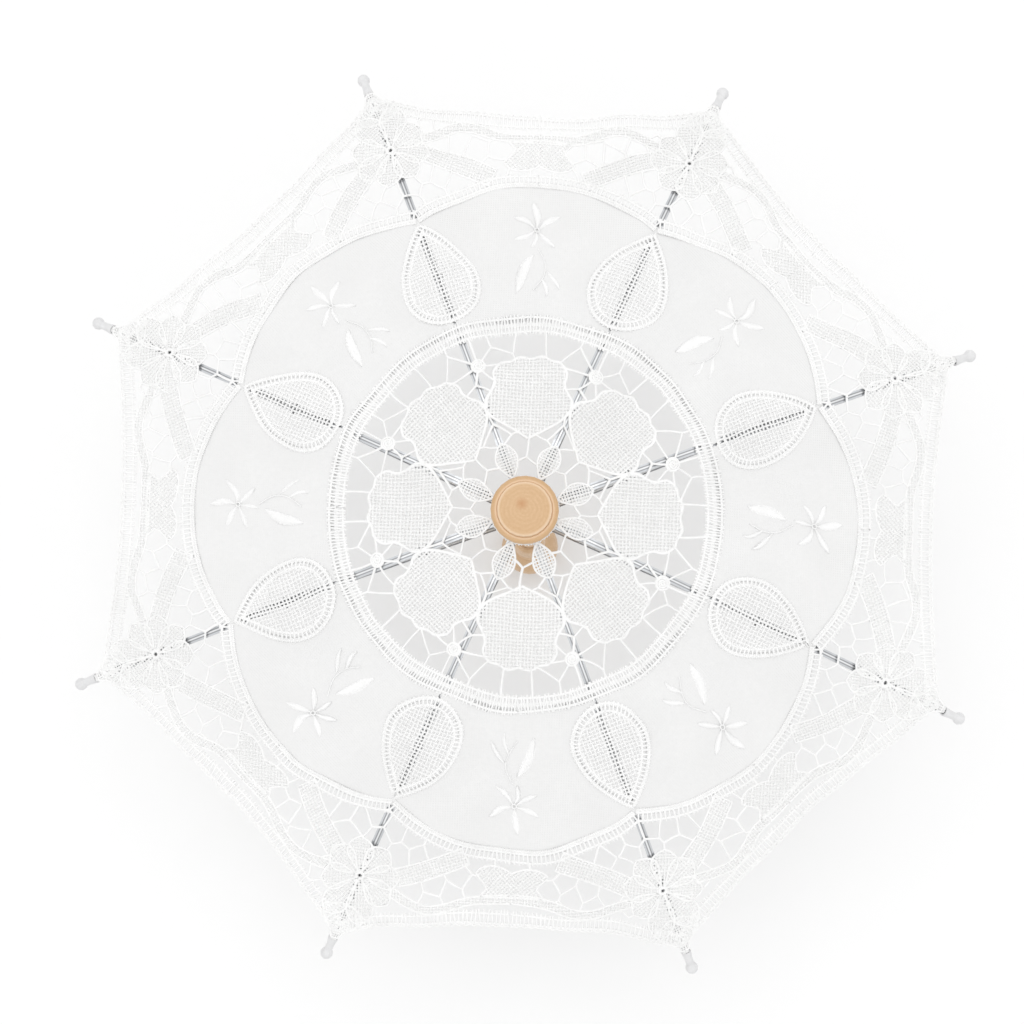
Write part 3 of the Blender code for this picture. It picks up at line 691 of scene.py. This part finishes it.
STAR_HEART = 119.0 + 0j
STAR_TURN_SPREAD, STAR_BEND_SPREAD = 4, 9
# Direction in degrees, length and width of each petal.
STAR_PETALS = ((8, 12.0, 3.2), (62, 10.6, 2.3), (118, 10.0, 2.0), (170, 8.4, 1.8),
               (228, 10.4, 2.2), (300, 11.6, 2.5))


def draw_star(work):
    """A flower of narrow, slightly bent petals."""
    for degrees, length, width in STAR_PETALS:
        degrees += rng.normal(0, STAR_TURN_SPREAD)
        bend = rng.normal(0, STAR_BEND_SPREAD)
        line = curve(STAR_HEART + polar(1.0, degrees), STAR_HEART + polar(length / 2, degrees + bend),
                     STAR_HEART + polar(length, degrees), step=0.8)
        satin(work, line, width, lean=1.2)
    heart = arc(STAR_HEART, 0.9, 0, 360, step=0.6)[:-1]
    work.cord(heart, radius=0.28, lift=0.2)


def draw_sprig(work):
    """A leaf, two slips and a thin stem beside the star."""
    stem = curve(110.0 - 1.0j, 104.0 - 4.0j, 98.0 - 3.4j, 92.0 + 0.5j)
    work.thread(stem, radius=0.22, lift=0.1)
    satin(work, curve(107.0 + 1.0j, 100.0 + 5.0j, 91.0 + 7.4j), width=4.4)
    satin(work, curve(101.0 - 5.0j, 97.0 - 8.4j, 93.4 - 10.2j), width=1.8)
    satin(work, curve(97.4 - 3.0j, 93.0 - 5.0j, 89.4 - 5.0j), width=1.7)


def draw_embroidery():
    """The star and sprig on every cotton lobe, as flat threads."""
    work = Drawing()
    for index in range(len(RIBS)):
        work.face(GORE_TURN * index)
        draw_star(work)
        draw_sprig(work)
    return work


# ---- from flat threads to meshes

SECTOR = HALF_GORE
SECTOR_COUNT = 16
THICK_FROM = 0.33
THIN_SIDES, THICK_SIDES = 4, 6


def sector_of(flat):
    """Number of the half gore that a flat point is in, counted from the +X axis."""
    return np.floor(np.angle(flat) / SECTOR).astype(int) % SECTOR_COUNT


def with_crossings(points, lifts):
    """A thread with a point added wherever it passes from one half gore to the next."""
    numbers = sector_of(points)
    changes = np.flatnonzero(numbers[1:] != numbers[:-1])
    first, second = numbers[changes], numbers[changes + 1]
    line = np.where(np.abs(first - second) > 1, 0, np.maximum(first, second))
    before = (points[changes] * np.exp(-1j * line * SECTOR)).imag
    after = (points[changes + 1] * np.exp(-1j * line * SECTOR)).imag
    share = np.clip(before / (before - after), 0, 1)
    between = points[changes] + share * (points[changes + 1] - points[changes])
    level = lifts[changes] + share * (lifts[changes + 1] - lifts[changes])
    return np.insert(points, changes + 1, between), np.insert(lifts, changes + 1, level)


def cut_to_sectors(lines):
    """The threads of each half gore, cut where they cross a rib or a gore's middle."""
    sectors = [[] for _ in range(SECTOR_COUNT)]
    for points, lifts, radius, wide in lines:
        points, lifts = with_crossings(points, lifts)
        numbers = sector_of((points[1:] + points[:-1]) / 2)
        starts = np.concatenate([[0], np.flatnonzero(np.diff(numbers)) + 1, [len(numbers)]])
        for start, end in zip(starts, starts[1:]):
            sectors[numbers[start]].append((points[start:end + 1], lifts[start:end + 1], radius, wide))
    return sectors


def unit(vectors):
    """Vectors scaled to a length of one; those without a length stay as they are."""
    return vectors / np.maximum(np.linalg.norm(vectors, axis=1), TINY)[:, None]


def tubes(lines, sides):
    """Points, face corners and face sizes of closed tubes along flat threads."""
    flat = np.concatenate([line[0] for line in lines])
    counts = np.array([len(line[0]) for line in lines])
    lifts = np.concatenate([line[1] for line in lines])
    radius = np.repeat([line[2] for line in lines], counts) * MM
    wide = np.repeat([line[3] for line in lines], counts)
    centre, normal = on_cloth(flat, lifts)
    last = np.cumsum(counts) - 1
    first = last - counts + 1
    step = np.zeros(centre.shape)
    step[:-1] = centre[1:] - centre[:-1]
    step[last] = 0
    ahead = unit(step)
    ahead = unit(ahead + np.roll(ahead, 1, axis=0))
    side = unit(np.cross(ahead, normal))
    above = np.cross(side, ahead)
    rings = []
    for corner in range(sides):
        angle = 2 * math.pi * corner / sides
        rings.append(centre + (math.cos(angle) * (radius * wide)[:, None] * side
                               + math.sin(angle) * radius[:, None] * above))
    points = np.stack(rings, axis=1).reshape(-1, 3)
    return with_faces(points, first, last, sides)


def with_faces(points, first, last, sides):
    """The walls and flat ends of tubes whose rings are numbered from first to last."""
    inner = np.ones(len(points) // sides, bool)
    inner[last] = False
    base = np.flatnonzero(inner)[:, None] * sides
    corner = np.arange(sides)[None, :]
    following = (corner + 1) % sides
    walls = np.stack([base + corner, base + sides + corner,
                      base + sides + following, base + following], axis=2).reshape(-1)
    ends = len(points) + corner + sides * np.arange(2 * len(first))[:, None]
    start_caps = ends[:len(first)].reshape(-1)
    end_caps = ends[len(first):, ::-1].reshape(-1)
    whole_ends = np.concatenate([first, last])[:, None] * sides + corner
    points = np.concatenate([points, points[whole_ends.reshape(-1)]])
    sizes = np.concatenate([np.full(len(walls) // 4, 4), np.full(2 * len(first), sides)])
    return points, np.concatenate([walls, start_caps, end_caps]), sizes


def new_object(name, mesh, material):
    """A visible piece with one material."""
    item = bpy.data.objects.new(name, mesh)
    bpy.context.scene.collection.objects.link(item)
    mesh.materials.append(material)
    return item


def mesh_from_arrays(name, points, corners, sizes):
    """A smooth mesh from its points, its faces' corners in a row and its faces' sizes."""
    mesh = bpy.data.meshes.new(name)
    mesh.vertices.add(len(points))
    mesh.vertices.foreach_set("co", points.astype(np.float32).ravel())
    mesh.loops.add(len(corners))
    mesh.loops.foreach_set("vertex_index", corners.astype(np.int32))
    mesh.polygons.add(len(sizes))
    starts = np.concatenate([[0], np.cumsum(sizes)[:-1]])
    mesh.polygons.foreach_set("loop_start", starts.astype(np.int32))
    mesh.update(calc_edges=True)
    mesh.shade_smooth()
    return mesh


def thread_mesh(name, lines):
    """Fine threads get four sides and thicker ones six."""
    thin = [line for line in lines if line[2] < THICK_FROM]
    thick = [line for line in lines if line[2] >= THICK_FROM]
    groups = ((thin, THIN_SIDES), (thick, THICK_SIDES))
    parts = [tubes(group, sides) for group, sides in groups if group]
    offsets = np.cumsum([0] + [len(points) for points, _, _ in parts])
    parts = [(points, corners + offset, sizes)
             for (points, corners, sizes), offset in zip(parts, offsets)]
    return mesh_from_arrays(name, *(np.concatenate(group) for group in zip(*parts)))


# ---- cotton lobes

COTTON_LIFT = -0.42
COTTON_THICKNESS = 0.22
COTTON_GRID = 1.7
CREASE_ANGLE = math.radians(40)
# Depth, waves to a radian, start and fade of the gathers beside the ring tape.
GATHER_DEPTH, GATHER_WAVES, GATHER_START, GATHER_FADE = 0.14, 92, 80, 9
# Depth, length, and size and length of the bend, of the ripples along and across the gore.
RIPPLE_ALONG = (0.12, 5.2, 1.3, 7.7)
RIPPLE_ACROSS = (0.10, 4.1, 1.7, 6.3)


def evenly(outline, step):
    """A closed outline with its long sides divided."""
    pieces = []
    for start, end in zip(outline, np.roll(outline, -1)):
        share = min(1.0, step / max(abs(end - start), TINY))
        pieces.append(start + (end - start) * np.arange(0, 1, share))
    return np.concatenate(pieces)


def lobe_outline(step):
    """Half a cotton lobe, from the gore's middle to the rib, its edge under the tapes."""
    ring = arc(0, RING_MIDDLE, 0, RIB_TURN)
    drop = drop_outline(DROP_TAPE / 2)
    near = drop[drop.imag <= 0]
    near = near[np.argsort(near.real)] * polar(1.0, RIB_TURN)
    scallop = scallop_line()
    scallop = scallop[scallop.imag > 0][::-1]
    ends = np.array([SCALLOP_MIDDLE + 0j])
    return evenly(np.concatenate([ring, near, scallop, ends]), step)


def pucker(flat):
    """Slight fullness of the cotton, drawn in along its tapes, in mm."""
    radius = np.abs(flat)
    gathers = np.sin(np.angle(flat) * GATHER_WAVES + np.sin(radius / GATHER_FADE))
    waves = GATHER_DEPTH * gathers * np.exp((GATHER_START - radius) / GATHER_FADE)
    for (depth, length, bend, bend_length), along, across in (
            (RIPPLE_ALONG, flat.real, flat.imag), (RIPPLE_ACROSS, flat.imag, flat.real)):
        waves += depth * np.sin(along / length + bend * np.sin(across / bend_length))
    return waves


def lobe_sheet():
    """Flat points and faces of half a cotton lobe: its outline, and a grid within it."""
    outline = lobe_outline(COTTON_GRID)
    inside = np.array([complex(x, y)
                       for x in np.arange(outline.real.min(), outline.real.max(), COTTON_GRID)
                       for y in np.arange(COTTON_GRID / 2, outline.imag.max(), COTTON_GRID)])
    inside = inside[contains(outline, inside)]
    clear = np.abs(inside[:, None] - outline[None, :]).min(axis=1) > 0.5 * COTTON_GRID
    points = [Vector((place.real, place.imag)) for place in (*outline, *inside[clear])]
    flat, _, faces, *_ = delaunay_2d_cdt(points, [], [list(range(len(outline)))], 1, 1e-5)
    return np.array([complex(*place) for place in flat]), faces


def two_sided(top, count):
    """Faces of a closed thin sheet, from those of its upper side and its number of points."""
    edges = dict.fromkeys((a, b) for face in top for a, b in zip(face, [*face[1:], face[0]]))
    rim = [(a, b) for a, b in edges if (b, a) not in edges]
    under = [[count + corner for corner in face[::-1]] for face in top]
    return top + under + [[b, a, a + count, b + count] for a, b in rim]


def cotton_mesh(name, number):
    """The cotton of one half gore, as a closed thin sheet with its flat places as UVs."""
    flat, faces = lobe_sheet()
    mirrored = number % 2 == 1
    gore = np.exp(1j * math.ceil(number / 2) * GORE)
    flat = (np.conj(flat) if mirrored else flat) * gore
    sheets = [on_cloth(flat, COTTON_LIFT + level + pucker(flat))[0]
              for level in (COTTON_THICKNESS / 2, -COTTON_THICKNESS / 2)]
    top = [face[::-1] if mirrored else list(face) for face in faces]
    mesh = bpy.data.meshes.new(name)
    mesh.from_pydata(np.concatenate(sheets).tolist(), [], two_sided(top, len(flat)))
    corners = np.zeros(len(mesh.loops), np.int32)
    mesh.loops.foreach_get("vertex_index", corners)
    places = np.concatenate([flat, flat])[corners] / gore * MM
    uvs = np.stack([places.real, places.imag], axis=1).astype(np.float32)
    mesh.uv_layers.new(name="flat").data.foreach_set("uv", uvs.ravel())
    mesh.shade_smooth()
    mesh.set_sharp_from_angle(angle=CREASE_ANGLE)
    return mesh


# ---- materials

def add_node(tree, kind, inputs=None, **settings):
    """A shader node with inputs set to values or linked to other nodes' outputs."""
    made = tree.nodes.new("ShaderNode" + kind)
    for name, value in settings.items():
        setattr(made, name, value)
    for name, value in (inputs or {}).items():
        if isinstance(value, bpy.types.NodeSocket):
            tree.links.new(value, made.inputs[name])
        else:
            made.inputs[name].default_value = value
    return made


def new_material(name, **inputs):
    """A material, its tree and its shader, with some of the shader's inputs set."""
    material = bpy.data.materials.new(name)
    material.use_nodes = True
    shader = material.node_tree.nodes["Principled BSDF"]
    for key, value in inputs.items():
        shader.inputs[key.replace("_", " ")].default_value = value
    return material, material.node_tree, shader


def colour_ramp(tree, factor, *stops):
    """A colour ramp; each stop is a place and a colour."""
    ramp = add_node(tree, "ValToRGB", {"Fac": factor})
    elements = ramp.color_ramp.elements
    while len(elements) < len(stops):
        elements.new(0.5)
    for element, (place, colour) in zip(elements, stops):
        element.position = place
        element.color = (*colour, 1.0)
    return ramp.outputs["Color"]


def bumped(tree, shader, height, strength, distance):
    """Give a shader fine relief."""
    bump = add_node(tree, "Bump", {"Height": height, "Strength": strength, "Distance": distance})
    tree.links.new(bump.outputs["Normal"], shader.inputs["Normal"])


def maths(tree, operation, *values):
    """The result of a maths operation on numbers or outputs."""
    return add_node(tree, "Math", dict(enumerate(values)), operation=operation).outputs[0]


def off_axis(tree, place, shift=(0.0, 0.0, 0.0)):
    """Distance of a point from the upright axis, or from one shifted off it, in metres."""
    level = add_node(tree, "VectorMath", {0: place, 1: (1.0, 1.0, 0.0), 2: shift},
                     operation="MULTIPLY_ADD").outputs[0]
    return add_node(tree, "VectorMath", {0: level}, operation="LENGTH").outputs["Value"]


def laid_over(tree, factor, under, colour):
    """A colour laid over another by a factor."""
    mix = add_node(tree, "Mix", {"Factor": factor, "A": under, "B": (*colour, 1.0)},
                   data_type="RGBA")
    return mix.outputs["Result"]


def rescaled(tree, value, low, high, from_low=0.0, from_high=1.0):
    """A value brought from one range to another."""
    return add_node(tree, "MapRange", {
        "Value": value, "From Min": from_low, "From Max": from_high,
        "To Min": low, "To Max": high}).outputs["Result"]


def place_output(tree):
    return add_node(tree, "TexCoord").outputs["Object"]


def noise(tree, vector, scale, detail=3.0, roughness=0.55, distortion=0.0):
    return add_node(tree, "TexNoise", {
        "Vector": vector, "Scale": scale, "Detail": detail, "Roughness": roughness,
        "Distortion": distortion}).outputs["Fac"]


def thread_material(name, dull, bright, roughness):
    """Bleached cotton thread: soft, with the twist and slubs of handwork."""
    material, tree, shader = new_material(name, Roughness=roughness)
    place = place_output(tree)
    shade = noise(tree, place, 260.0, detail=4.0)
    broad = noise(tree, place, 22.0)
    mixed = maths(tree, "MULTIPLY_ADD", shade, broad, 0.18)
    colour = colour_ramp(tree, mixed, (0.2, dull), (0.5, bright))
    tree.links.new(colour, shader.inputs["Base Color"])
    shader.inputs["Sheen Weight"].default_value = 0.25
    shader.inputs["Sheen Roughness"].default_value = 0.5
    bumped(tree, shader, noise(tree, place, 1800.0, detail=2.0), 0.5, 0.0002)
    return material


def cotton_material():
    """Plain-woven bleached cotton: fine over-and-under weave with slubs."""
    material, tree, shader = new_material("plain_cotton", Roughness=0.82)
    flat = add_node(tree, "UVMap", uv_map="flat").outputs["UV"]
    waves = []
    for direction in ("X", "Y"):
        wave = add_node(tree, "TexWave", {
            "Vector": flat, "Scale": 320.0, "Distortion": 1.2, "Detail": 2.0,
            "Detail Scale": 0.6}, wave_type="BANDS", bands_direction=direction)
        waves.append(wave.outputs["Fac"])
    slubs = noise(tree, flat, 420.0, detail=5.0, roughness=0.7)
    broad = noise(tree, flat, 38.0)
    mixed = maths(tree, "MULTIPLY", slubs, broad)
    colour = colour_ramp(tree, mixed, (0.08, (0.705, 0.704, 0.701)), (0.4, (0.745, 0.744, 0.742)))
    tree.links.new(colour, shader.inputs["Base Color"])
    shader.inputs["Sheen Weight"].default_value = 0.2
    height = maths(tree, "ADD", maths(tree, "MULTIPLY", *waves), slubs)
    bumped(tree, shader, height, 0.35, 0.0002)
    return material


# Painted shade on steel: how far across a rib its darker bands reach, and how much they darken the
# channel's walls, edges, floor and lip.
PAINTED_SHADE_REACH = 2.0 * MM
WALL_PAINTED_SHADE, EDGE_PAINTED_SHADE = (0.42, 0.42, 0.43), (0.48, 0.48, 0.49)
CHANNEL_FLOOR_PAINTED_SHADE, LIP_PAINTED_SHADE = (0.74, 0.75, 0.77), (0.78, 0.79, 0.80)
WHITE = (1.0, 1.0, 1.0)


def off_rib_plane(tree, place):
    """Distance of a point from the nearest rib's upright plane, as a share of the painted shade bands'
    reach.
    """
    parts = add_node(tree, "SeparateXYZ", {"Vector": place}).outputs
    angle = maths(tree, "ARCTAN2", parts["Y"], parts["X"])
    folded = maths(tree, "SUBTRACT", maths(tree, "FLOORED_MODULO", angle, GORE), HALF_GORE)
    across = maths(tree, "MULTIPLY", off_axis(tree, place), maths(tree, "SINE", folded))
    return maths(tree, "MULTIPLY", maths(tree, "ABSOLUTE", across), 1 / PAINTED_SHADE_REACH)


def steel_material(name, tint, roughness):
    """Plated steel with drawing lines and slight tarnish, and painted shade: darker bands along a
    channel's walls and edges.
    """
    material, tree, shader = new_material(name, Metallic=1.0)
    place = place_output(tree)
    tarnish = noise(tree, place, 90.0, detail=5.0)
    lines = noise(tree, place, 1400.0, detail=2.0)
    colour = colour_ramp(tree, tarnish, (0.3, tuple(0.8 * part for part in tint)), (0.62, tint))
    # Painted shade: bands across the rib darken the channel's walls and edges, standing in for their
    # shadow and dark reflections; the middle keeps its colour.
    painted_shade = colour_ramp(tree, off_rib_plane(tree, place),
                         (0.12, WHITE), (0.20, WALL_PAINTED_SHADE), (0.34, WALL_PAINTED_SHADE),
                         (0.44, CHANNEL_FLOOR_PAINTED_SHADE), (0.70, LIP_PAINTED_SHADE), (0.84, EDGE_PAINTED_SHADE))
    with_painted_shade = add_node(tree, "VectorMath", {0: colour, 1: painted_shade}, operation="MULTIPLY")
    tree.links.new(with_painted_shade.outputs[0], shader.inputs["Base Color"])
    spread = rescaled(tree, tarnish, roughness * 1.5, roughness * 0.8, 0.3, 0.7)
    tree.links.new(spread, shader.inputs["Roughness"])
    bumped(tree, shader, lines, 0.15, 0.0001)
    return material


END_RINGS = {"Scale": 190.0, "Distortion": 5.0, "Detail": 3.0, "Detail Scale": 1.4}
PITH_PLACE = (0.0012, -0.0020, 0.0)
PITH_CORE, PITH_REACH, PITH_STRENGTH = 0.2 * MM, 3.0 * MM, 0.55
PITH_COLOUR = (0.42, 0.17, 0.05)
# Painted highlight on the cap: colour and strength of a pale ring at the edge of its raised top.
PAINTED_HIGHLIGHT_COLOUR = (0.86, 0.68, 0.50)
BLACK, PAINTED_HIGHLIGHT_STRENGTH = (0.0, 0.0, 0.0), (0.6, 0.6, 0.6)


def end_grain(tree, place):
    """Growth rings, and pores, of wood cut across."""
    wave = add_node(tree, "TexWave", {"Vector": place, **END_RINGS},
                    wave_type="RINGS", rings_direction="Z").outputs["Fac"]
    return maths(tree, "MULTIPLY_ADD", wave, 0.3, 0.45), noise(tree, place, 1300.0)


def long_grain(tree, place):
    """Broad and fine streaks of wood along the shaft's axis."""
    stretched = add_node(tree, "Mapping", {
        "Vector": place, "Scale": (1.0, 1.0, 0.06)}).outputs["Vector"]
    broad = noise(tree, stretched, 420.0, detail=4.0, distortion=0.6)
    return broad, noise(tree, stretched, 1500.0)


def cap_colours(tree, place, colour):
    """The cap's dark pith, and a painted highlight: a pale ring at the edge of its raised top, which
    also lightens the shade in its groove.
    """
    pith = rescaled(tree, off_axis(tree, place, PITH_PLACE), PITH_STRENGTH, 0.0,
                    PITH_CORE, PITH_REACH)
    colour = laid_over(tree, pith, colour, PITH_COLOUR)
    # Painted highlight: a pale ring round the edge of the raised top, laid over the shade of its
    # groove.
    share = maths(tree, "MULTIPLY", off_axis(tree, place), 1 / CAP_RADIUS)
    painted_highlight = colour_ramp(tree, share, (0.70, BLACK), (0.77, PAINTED_HIGHLIGHT_STRENGTH),
                       (0.84, PAINTED_HIGHLIGHT_STRENGTH), (0.90, BLACK))
    return laid_over(tree, painted_highlight, colour, PAINTED_HIGHLIGHT_COLOUR)


def wood_material(name, light, dark, is_cap=False):
    """Turned, varnished maple; the cap shows its end grain, the rest its streaks."""
    material, tree, shader = new_material(name, Roughness=0.36)
    place = place_output(tree)
    broad, fine = end_grain(tree, place) if is_cap else long_grain(tree, place)
    grain = maths(tree, "MULTIPLY_ADD", broad, fine, 0.1)
    colour = colour_ramp(tree, grain, (0.15, dark), (0.6, light))
    if is_cap:
        colour = cap_colours(tree, place, colour)
    tree.links.new(colour, shader.inputs["Base Color"])
    shader.inputs["Specular IOR Level"].default_value = 0.25
    bumped(tree, shader, grain, 0.06, 0.0002)
    return material


def plastic_material(name, colour, roughness, transmission):
    """A milky moulding with a faint cloudiness and fine surface scuffs."""
    material, tree, shader = new_material(name)
    place = place_output(tree)
    cloud = noise(tree, place, 330.0)
    shade = colour_ramp(tree, cloud, (0.3, tuple(0.9 * part for part in colour)), (0.7, colour))
    tree.links.new(shade, shader.inputs["Base Color"])
    scuffs = noise(tree, place, 2600.0)
    spread = rescaled(tree, scuffs, roughness * 0.8, roughness * 1.3)
    tree.links.new(spread, shader.inputs["Roughness"])
    shader.inputs["Transmission Weight"].default_value = transmission
    shader.inputs["IOR"].default_value = 1.49
    bumped(tree, shader, scuffs, 0.08, 0.0001)
    return material


EDGE_ANGLE = math.radians(50)


def round_edges(width, *nodes):
    """Ease the pressed edges of CAD nodes."""
    for name in nodes:
        bevel = frame["nodes"][name].modifiers.new("eased", "BEVEL")
        bevel.width = width
        bevel.segments = 4
        bevel.limit_method = "ANGLE"
        bevel.angle_limit = EDGE_ANGLE
        bevel.use_clamp_overlap = True


def dress(material, slot, *nodes):
    """Give CAD nodes a material. The slot is not used."""
    for name in nodes:
        node = frame["nodes"][name]
        node.data.materials.clear()
        node.data.materials.append(material)


# ---- canopy pieces


def fold_with_flap(piece):
    """Bake the piece's placement into its mesh."""
    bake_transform(piece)


def build_canopy():
    """The lace, cotton and embroidery of each half gore: a before its rib, b after it."""
    thread = thread_material("cotton_thread", (0.78, 0.779, 0.775), (0.845, 0.844, 0.841), 0.86)
    # The satin thread is paler than the lace thread: painted light, standing in for the stitches'
    # sheen and offsetting the shade between them.
    satin_thread = thread_material("satin_thread", (0.83, 0.829, 0.826), (0.87, 0.869, 0.867), 0.6)
    cotton = cotton_material()
    lace = cut_to_sectors(draw_lace().lines)
    stitches = cut_to_sectors(draw_embroidery().lines)
    for number in range(SECTOR_COUNT):
        rib, letter = number // 2 + 1, "ab"[number % 2]
        half = f"{rib}{letter}"
        for mesh, material in ((thread_mesh(f"lace_{half}", lace[number]), thread),
                               (cotton_mesh(f"cotton_{half}", number), cotton),
                               (thread_mesh(f"embroidery_{half}", stitches[number]), satin_thread)):
            piece = new_object(mesh.name, mesh, material)
            fold_with_flap(piece)
        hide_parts(f"canopy_panel_{half}")


# ---- glue line

GLUE_INNER = 3.98
GLUE_OUTER = 4.32
GLUE_BELOW_TOP = 0.15
GLUE_DEPTH = 1.5
GLUE_SIDES = 64


def build_glue_line():
    """The ring of set glue that closes the gap between the shaft and the handle's bore."""
    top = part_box("handle")[1].z / MM - GLUE_BELOW_TOP
    low = top - GLUE_DEPTH
    turns = np.exp(2j * math.pi * np.arange(GLUE_SIDES) / GLUE_SIDES)
    rings = ((GLUE_INNER, top), (GLUE_OUTER, top), (GLUE_OUTER, low), (GLUE_INNER, low))
    points = [(radius * turn.real * MM, radius * turn.imag * MM, height * MM)
              for radius, height in rings for turn in turns]
    faces = []
    for ring in range(len(rings)):
        here = ring * GLUE_SIDES
        below = (ring + 1) % len(rings) * GLUE_SIDES
        for step in range(GLUE_SIDES):
            following = (step + 1) % GLUE_SIDES
            faces.append((here + step, below + step, below + following, here + following))
    mesh = bpy.data.meshes.new("handle_glue")
    mesh.from_pydata(points, [], faces)
    glue = new_object("handle_glue", mesh, HANDLE_WOOD)
    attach(glue, "frame")


# ---- stage

FLOOR_SIZE = 8.0
FLOOR_DROP = 0.6 * MM
FLOOR_SHADE = 0.825
SKY_STRENGTH = 1.02
OVERHEAD_STRENGTH = 0.75
OVERHEAD_SPREAD = math.radians(30)
OVERHEAD_FROM = (-0.03, 0.10, 1.0)


def build_stage():
    """A plain pale floor under soft, even light."""
    bpy.ops.mesh.primitive_plane_add(size=FLOOR_SIZE, location=(0, 0, -FLOOR_DROP))
    floor = bpy.context.active_object
    floor.name = "floor"
    grey = (FLOOR_SHADE, FLOOR_SHADE, FLOOR_SHADE, 1.0)
    floor.data.materials.append(new_material("pale_floor", Base_Color=grey, Roughness=0.9)[0])
    world = bpy.data.worlds.new("soft light")
    world.use_nodes = True
    sky = world.node_tree.nodes["Background"]
    sky.inputs["Color"].default_value = (*WHITE, 1.0)
    sky.inputs["Strength"].default_value = SKY_STRENGTH
    bpy.context.scene.world = world
    lamp = bpy.data.lights.new("overhead", "SUN")
    lamp.energy = OVERHEAD_STRENGTH
    lamp.angle = OVERHEAD_SPREAD
    light = bpy.data.objects.new("overhead", lamp)
    bpy.context.scene.collection.objects.link(light)
    light.rotation_euler = Vector(OVERHEAD_FROM).to_track_quat("Z", "Y").to_euler()


CAMERA_DISTANCE = 1.25
CAMERA_LENS = 104.0
CAMERA_LEAN = (0.0153, -0.0595)
CAMERA_ROLL = 2.2
AIM = (-6.1 * MM, 3.1 * MM, RIB_TIP.imag * MM)


def build_camera():
    """Nearly straight down, leaning a few degrees, from a little over a metre above."""
    data = bpy.data.cameras.new("camera")
    data.lens = CAMERA_LENS
    camera = bpy.data.objects.new("camera", data)
    bpy.context.scene.collection.objects.link(camera)
    back = Vector((*CAMERA_LEAN, 1.0)).normalized()
    camera.location = Vector(AIM) + back * CAMERA_DISTANCE
    roll = math.radians(CAMERA_ROLL)
    right = Vector((math.cos(roll), math.sin(roll), 0.0))
    up = back.cross(right).normalized()
    right = up.cross(back)
    camera.rotation_euler = Matrix((right, up, back)).transposed().to_euler()
    bpy.context.scene.camera = camera


# ---- the whole parasol

build_canopy()

STEEL = steel_material("rib_steel", (0.86, 0.87, 0.88), 0.28)
WIRE = steel_material("steel_wire", (0.70, 0.71, 0.72), 0.25)
TIP_PLASTIC = plastic_material("tip_plastic", (0.75, 0.75, 0.755), 0.3, 0.08)
WHITE_PLASTIC = plastic_material("moulded_plastic", (0.90, 0.90, 0.88), 0.4, 0.0)
CAP_WOOD = wood_material("cap_wood", (0.60, 0.40, 0.23), (0.525, 0.335, 0.175), is_cap=True)
# Handle and shaft wood are paler than the cap's: painted light, standing in for the light that the
# canopy's shadow takes from them.
HANDLE_WOOD = wood_material("handle_wood", (0.66, 0.47, 0.30), (0.54, 0.35, 0.20))
SHAFT_WOOD = wood_material("shaft_wood", (0.65, 0.46, 0.28), (0.53, 0.34, 0.19))

dress(STEEL, "rib_steel", *(f"{stem}_{rib}" for rib in RIBS for stem in ("rib", "stretcher")))
round_edges(1.0 * MM, *(f"rib_{rib}" for rib in RIBS))
round_edges(0.3 * MM, *(f"stretcher_{rib}" for rib in RIBS))
dress(WIRE, "steel_wire", "notch_wire", "runner_wire", "catch_pin", "runner_stop_pin",
      "spring_catch", *(f"joint_rivet_{rib}" for rib in RIBS))
dress(TIP_PLASTIC, "tip_plastic", *(f"rib_tip_{rib}" for rib in RIBS))
dress(WHITE_PLASTIC, "moulded_plastic", "notch", "runner")
dress(CAP_WOOD, "cap_wood", "cap")
dress(HANDLE_WOOD, "handle_wood", "handle")
dress(SHAFT_WOOD, "shaft_wood", "shaft")

build_glue_line()
build_stage()
build_camera()
bpy.context.scene.view_settings.view_transform = "Standard"
